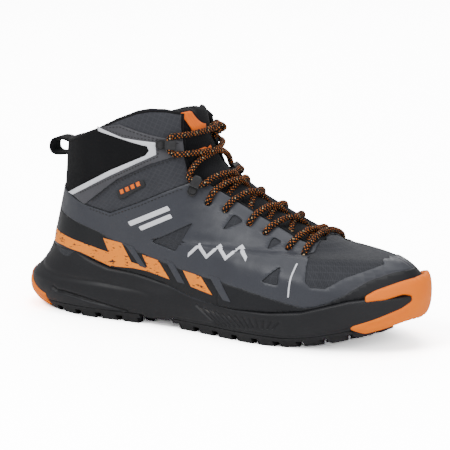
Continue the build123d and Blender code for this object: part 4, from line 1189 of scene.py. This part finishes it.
def bumper_relief(distance, height, away):
    relief = np.zeros(len(distance))
    for notch in NOTCHES:
        relief -= 0.9 * np.exp(-(line_distance(distance, height, notch) / 1.3) ** 4)
    return relief + 0.3 * np.clip(away / 5, 0, 1)


bumper = panel("toe_bumper_rubber", orange_rubber, [BUMPER], low=-2.4, thick=3.1, form=SOLE, rim=1.1, cell=1.3,
               corner=1.5, shape=bumper_relief, sink=-1.6)
finish_piece(bumper, "boot", "bumper_rubber", "toe_bumper")

# ---------------------------------------------------------------- collar roll, padded shaft lining and foot lining
COLLAR_SECTION = [(-4, -1.7), (-1.2, -1.5), (-0.5, -0.5), (0.1, 0.15), (0.9, 0.2), (1.6, -0.3), (2.1, -1.5),
                  (2.3, -3.2), (2.1, -4.8), (1.3, -6.2), (-0.2, -7.3), (-2.5, -7.9), (-5, -8)]
FOAM_EDGE = [(HEEL_END, 74), (40, 72), (85, 80), (104, 96), (111, 112), (111, TOP)]


def build_collar():
    limit = UPPER.turn_at(131.0, 149.0, LATERAL)[0]
    turns = np.linspace(-limit, limit, 260)
    edge = np.where(turns > 0, on_line(UPPER, turns, COLLAR_LINE), on_line(UPPER, turns, MEDIAL_COLLAR))
    rings = [UPPER.place(turns, edge + h, np.full(len(turns), r) * (0.55 + 0.45 * np.clip((limit - np.abs(turns)) / 0.5, 0, 1)
                                                                     if r < 0 else 1.0))
             for h, r in COLLAR_SECTION]
    count = len(turns)
    points = np.concatenate(rings)
    faces = []
    for r in range(len(rings)):
        for i in range(count - 1):
            s = (r + 1) % len(rings)
            faces.append((r * count + i, r * count + i + 1, s * count + i + 1, s * count + i))
    faces.append(tuple(r * count for r in range(len(rings))))
    faces.append(tuple(r * count + count - 1 for r in range(len(rings) - 1, -1, -1)))
    uv = np.concatenate([np.stack([turns * 30, np.full(count, k * 2.0)], axis=-1) for k in range(len(rings))])
    piece = new_mesh("collar_roll", points, faces, binding_fabric, uv=uv)
    finish_piece(piece, "boot", "binding_textile", "collar_binding", "collar_foam")


def padding(distance, height, away):
    """How far the padded collar's lining stands in from the foot lining, in mm."""
    over = np.clip((height - line_height(FOAM_EDGE[:4], distance)) / 14, 0, 1)
    swell = np.sin(pi * np.clip((height - line_height(FOAM_EDGE[:4], distance)) / 60, 0, 1))
    return -(3.4 + 1.4 * swell) * over ** 1.3


build_collar()
SHAFT = [(HEEL_END, 27), (60, 26), (100, 23), (104, 22.5), (104, 96), (110, 110), (112, 118), (112, 147.5),
         (104, 145.5), (87, 138.5), (70, 130), (58, 125), (40, 117.5), (20, 113.5), (HEEL_END, 112.5)]
shaft_lining = panel("shaft_lining", lining_fabric, lambda side: [SHAFT if side == LATERAL else
                                                                  under_collar(SHAFT, side, 3.5)],
                     low=-4.6, thick=0.8, rim=0, cell=3, from_front=False, shape=padding)
finish_piece(shaft_lining, "boot", "lining_textile", "collar_lining")
LINING_TOP = [(104, 108), (128, 92), (155, 82), (178, 71), (205, 60), (228, 53), (240, 52), (246, 64),
              (246, TOP), (TOE_END, TOP)]
foot_lining = panel("foot_lining", lining_fabric, [[(104, 22), (140, 20), (180, 17), (215, 16), (245, 19), (270, 24),
                    (290, 30), (TOE_END, 38)] + LINING_TOP[::-1]], low=-3.6, thick=0.8, rim=0, cell=4)
finish_piece(foot_lining, "boot", "lining_textile", "inner_lining")

# ---------------------------------------------------------------- tongue
TONGUE = [(245, TOP), (245, 64), (236, 60.5), (220, 63.5), (208, 68), (196, 73), (177, 81.5), (159, 90.5),
          (147, 96.5), (136, 104.5), (129, 116), (125.5, 130), (124.5, 146), (126.5, 150.6), (130, 152.4),
          (136, 152.9), (160, 152.9), (160, TOP)]


def tongue_relief(distance, height, away):
    swell = 0.5 * np.sin(height / 15 * 2 * pi) * np.clip(away / 8, 0, 1)
    lip = 0.9 * np.exp(-(((height - 147) / 6) ** 2)) * np.clip(away / 4, 0, 1)
    edge = -1.2 * np.clip(1 - away / 8, 0, 1) ** 1.5
    return swell + lip + edge


TONGUE_MEDIAL = TONGUE[:11] + [(124.6, 136), (127, 142.5), (131, 148.5), (136, 152.9), (160, 152.9), (160, TOP)]
tongue = panel("tongue_pad", tongue_fabric, lambda side: [TONGUE if side == LATERAL else TONGUE_MEDIAL],
               low=-6.4, thick=2.1, rim=2.0, cell=2.2, shape=tongue_relief,
               sink=0, closed=False)
solid = tongue.modifiers.new("solid", "SOLIDIFY")
solid.thickness = 2.4 * MM
solid.offset = -1
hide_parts("tongue_lower", "tongue_top")
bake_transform(tongue)
TAB = [(131.6, 150), (136.4, 151), (143.4, 136.6), (139.4, 135), (135.6, 142.8)]
tab = panel("tongue_tab", orange_label, [TAB], low=-4.2, thick=0.9, sides=(LATERAL,), rim=0.4, cell=1.3, corner=1.0,
            shape=lambda distance, height, away: tongue_relief(distance, height, np.full(len(away), 9.0)))
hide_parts("tongue_label")
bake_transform(tab)
SPARK = [(139.8, 123.8), (152, 124.6), (152, 129.4)]
spark = panel("tongue_triangle", orange_label, [SPARK], low=-4.2, thick=0.7, sides=(LATERAL,), rim=0.3, cell=1.2,
              shape=lambda distance, height, away: tongue_relief(distance, height, np.full(len(away), 9.0)))
finish_piece(spark, "boot", "woven_label")


# ---------------------------------------------------------------- braided lace
def frames_along(line):
    """Even steps along a line with axes that don't twist."""
    along = np.concatenate([[0], np.cumsum(np.linalg.norm(np.diff(line, axis=0), axis=1))])
    steps = np.linspace(0, along[-1], int(along[-1] / 0.42))
    points = np.stack([np.interp(steps, along, line[:, k]) for k in range(3)], axis=-1)
    for _ in range(3):
        points[1:-1] = points[1:-1] * 0.5 + (points[:-2] + points[2:]) * 0.25
    tangents = np.gradient(points, axis=0)
    tangents /= np.linalg.norm(tangents, axis=1, keepdims=True)
    side = np.zeros_like(points)
    first = np.cross(tangents[0], (0.3, 0.5, 0.8))
    side[0] = first / np.linalg.norm(first)
    for i in range(1, len(points)):
        turned = side[i - 1] - tangents[i] * (side[i - 1] @ tangents[i])
        side[i] = turned / np.linalg.norm(turned)
    return steps, points, side, np.cross(tangents, side)


def braided_tube(name, line, radius):
    """A tube along a line with the relief of a braid; each face knows which strand it belongs to."""
    around, carriers, lay_length = 26, 8, 10.6
    steps, points, side, other = frames_along(line)
    angles = np.arange(around) * 2 * pi / around
    s, theta = np.meshgrid(steps, angles, indexing="ij")
    cell = np.abs(np.sin(pi * carriers * (theta / (2 * pi) + s / lay_length))
                  * np.sin(pi * carriers * (theta / (2 * pi) - s / lay_length)))
    rise = radius - 0.1 + 0.32 * cell ** 0.7
    shell = (points[:, None] + side[:, None] * (np.cos(theta) * rise)[..., None]
             + other[:, None] * (np.sin(theta) * rise)[..., None])
    count = len(points)
    faces = [(i * around + k, i * around + (k + 1) % around,
              (i + 1) * around + (k + 1) % around, (i + 1) * around + k)
             for i in range(count - 1) for k in range(around)]
    middle_s, middle_t = (s[:-1] + s[1:]) / 2, theta[:-1] + pi / around
    left = np.floor(carriers * (middle_t / (2 * pi) + middle_s / lay_length)).astype(int)
    right = np.floor(carriers * (middle_t / (2 * pi) - middle_s / lay_length)).astype(int)
    fleck = (left % 2 == 0) & (right % 2 == 0)
    cream = fleck & (left % 8 == 0) & (right % 4 == 0)
    core = cell[:-1] > 0.35
    marks = np.concatenate([((fleck & core) * 1.0 + (cream & core) * 1.0).ravel(), [0, 0]])
    ends = [tuple(range(around - 1, -1, -1)), tuple((count - 1) * around + k for k in range(around))]
    piece = new_mesh(name, shell.reshape(-1, 3), faces + ends, braid)
    attribute = piece.data.attributes.new("strand", "FLOAT", "FACE")
    attribute.data.foreach_set("value", marks.astype(np.float32))
    return piece


lace = braided_tube("lace_braid", smooth_line("lace_line", lace_route), LACE / 2 + 0.3)
finish_piece(lace, "boot", "lace_cord", "lace")
KNOT = [(-4.5, -5, 0.5), (-2.5, -2.5, 2.6), (1.5, 2, 3.2), (3.8, 4.2, 0.5), (1.2, 4.8, -2),
        (-2.2, 1.5, 0.2), (0.2, -2, 3.4), (3.6, -4, 1), (1, -4.6, -2), (-3, -1, -1)]
low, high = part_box("lace_knot")
knot_place = [(a + b) / 2 / MM for a, b in zip(low, high)]
knot = braided_tube("lace_knot_turns", smooth_line("knot_line", [tuple(c + o for c, o in zip(knot_place, point))
                                                                  for point in KNOT]), LACE / 2 + 0.1)
finish_piece(knot, "boot", "lace_cord", "lace_knot")

# ---------------------------------------------------------------- heel pull loop
LOOP_WIDTH = 14
LOOP_PATH = [(30.5, 117.6), (27, 118.6), (22, 119.2), (18, 118.5), (15.2, 116.2), (14.3, 113),
             (14.6, 109.8), (16.6, 107.8), (20, 107.3), (25, 107.9), (30.5, 108.9)]


def build_pull_loop():
    middle = smooth_line("loop_line", [(d - HALF, 0, z) for d, z in LOOP_PATH])
    along = np.gradient(middle, axis=0)
    along /= np.linalg.norm(along, axis=1, keepdims=True)
    outward = np.cross(along, (0, 1, 0))
    section = [(across * (LOOP_WIDTH / 2 - 0.5), 0.8) for across in np.linspace(-1, 1, 9)]
    section += [(LOOP_WIDTH / 2, 0.4), (LOOP_WIDTH / 2, -0.4)]
    section += [(across * (LOOP_WIDTH / 2 - 0.5), -0.8) for across in np.linspace(1, -1, 9)]
    section += [(-LOOP_WIDTH / 2, -0.4), (-LOOP_WIDTH / 2, 0.4)]
    points, faces = [], []
    count = len(section)
    for place, normal in zip(middle, outward):
        points += [place + normal * height + np.array((0, across, 0)) for across, height in section]
    for i in range(len(middle) - 1):
        for k in range(count):
            j = (k + 1) % count
            faces.append((i * count + k, i * count + j, (i + 1) * count + j, (i + 1) * count + k))
    faces.append(tuple(range(count - 1, -1, -1)))
    faces.append(tuple((len(middle) - 1) * count + k for k in range(count)))
    return new_mesh("pull_loop_webbing", points, faces, webbing_fabric)


loop = build_pull_loop()
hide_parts("pull_loop")
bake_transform(loop)


# ---------------------------------------------------------------- CAD pieces that stay, with their materials
KEPT = {
    black_rubber: ("outsole_heel", "outsole_forefoot"),
    metal_black: ("hook_upper_lateral", "hook_upper_medial", "hook_lower_lateral", "hook_lower_medial",
                  "hook_rivets"),
    binding_fabric: ("eyestay_lateral", "eyestay_medial"),
    board_material: ("insole_board", "shank_plate", "heel_counter", "toe_puff"),
    footbed_fabric: ("footbed",),
    webbing_fabric: ("loop_anchor",),
    plastic_black: ("lace_aglets",)}
ROUNDED = {"outsole_heel": 0.6, "outsole_forefoot": 0.6, "hook_upper_lateral": 0.35, "hook_upper_medial": 0.35,
           "hook_lower_lateral": 0.35, "hook_lower_medial": 0.35, "hook_rivets": 0.5, "footbed": 0.8}
for look, names in KEPT.items():
    for name in names:
        node_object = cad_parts[name]
        node_object.data.materials.clear()
        node_object.data.materials.append(look)
        if name in ROUNDED:
            bevel = node_object.modifiers.new("bevel", "BEVEL")
            bevel.width = ROUNDED[name] * MM
            bevel.segments = 3
            bevel.limit_method = "ANGLE"
            bevel.angle_limit = radians(40)
            bevel.harden_normals = True
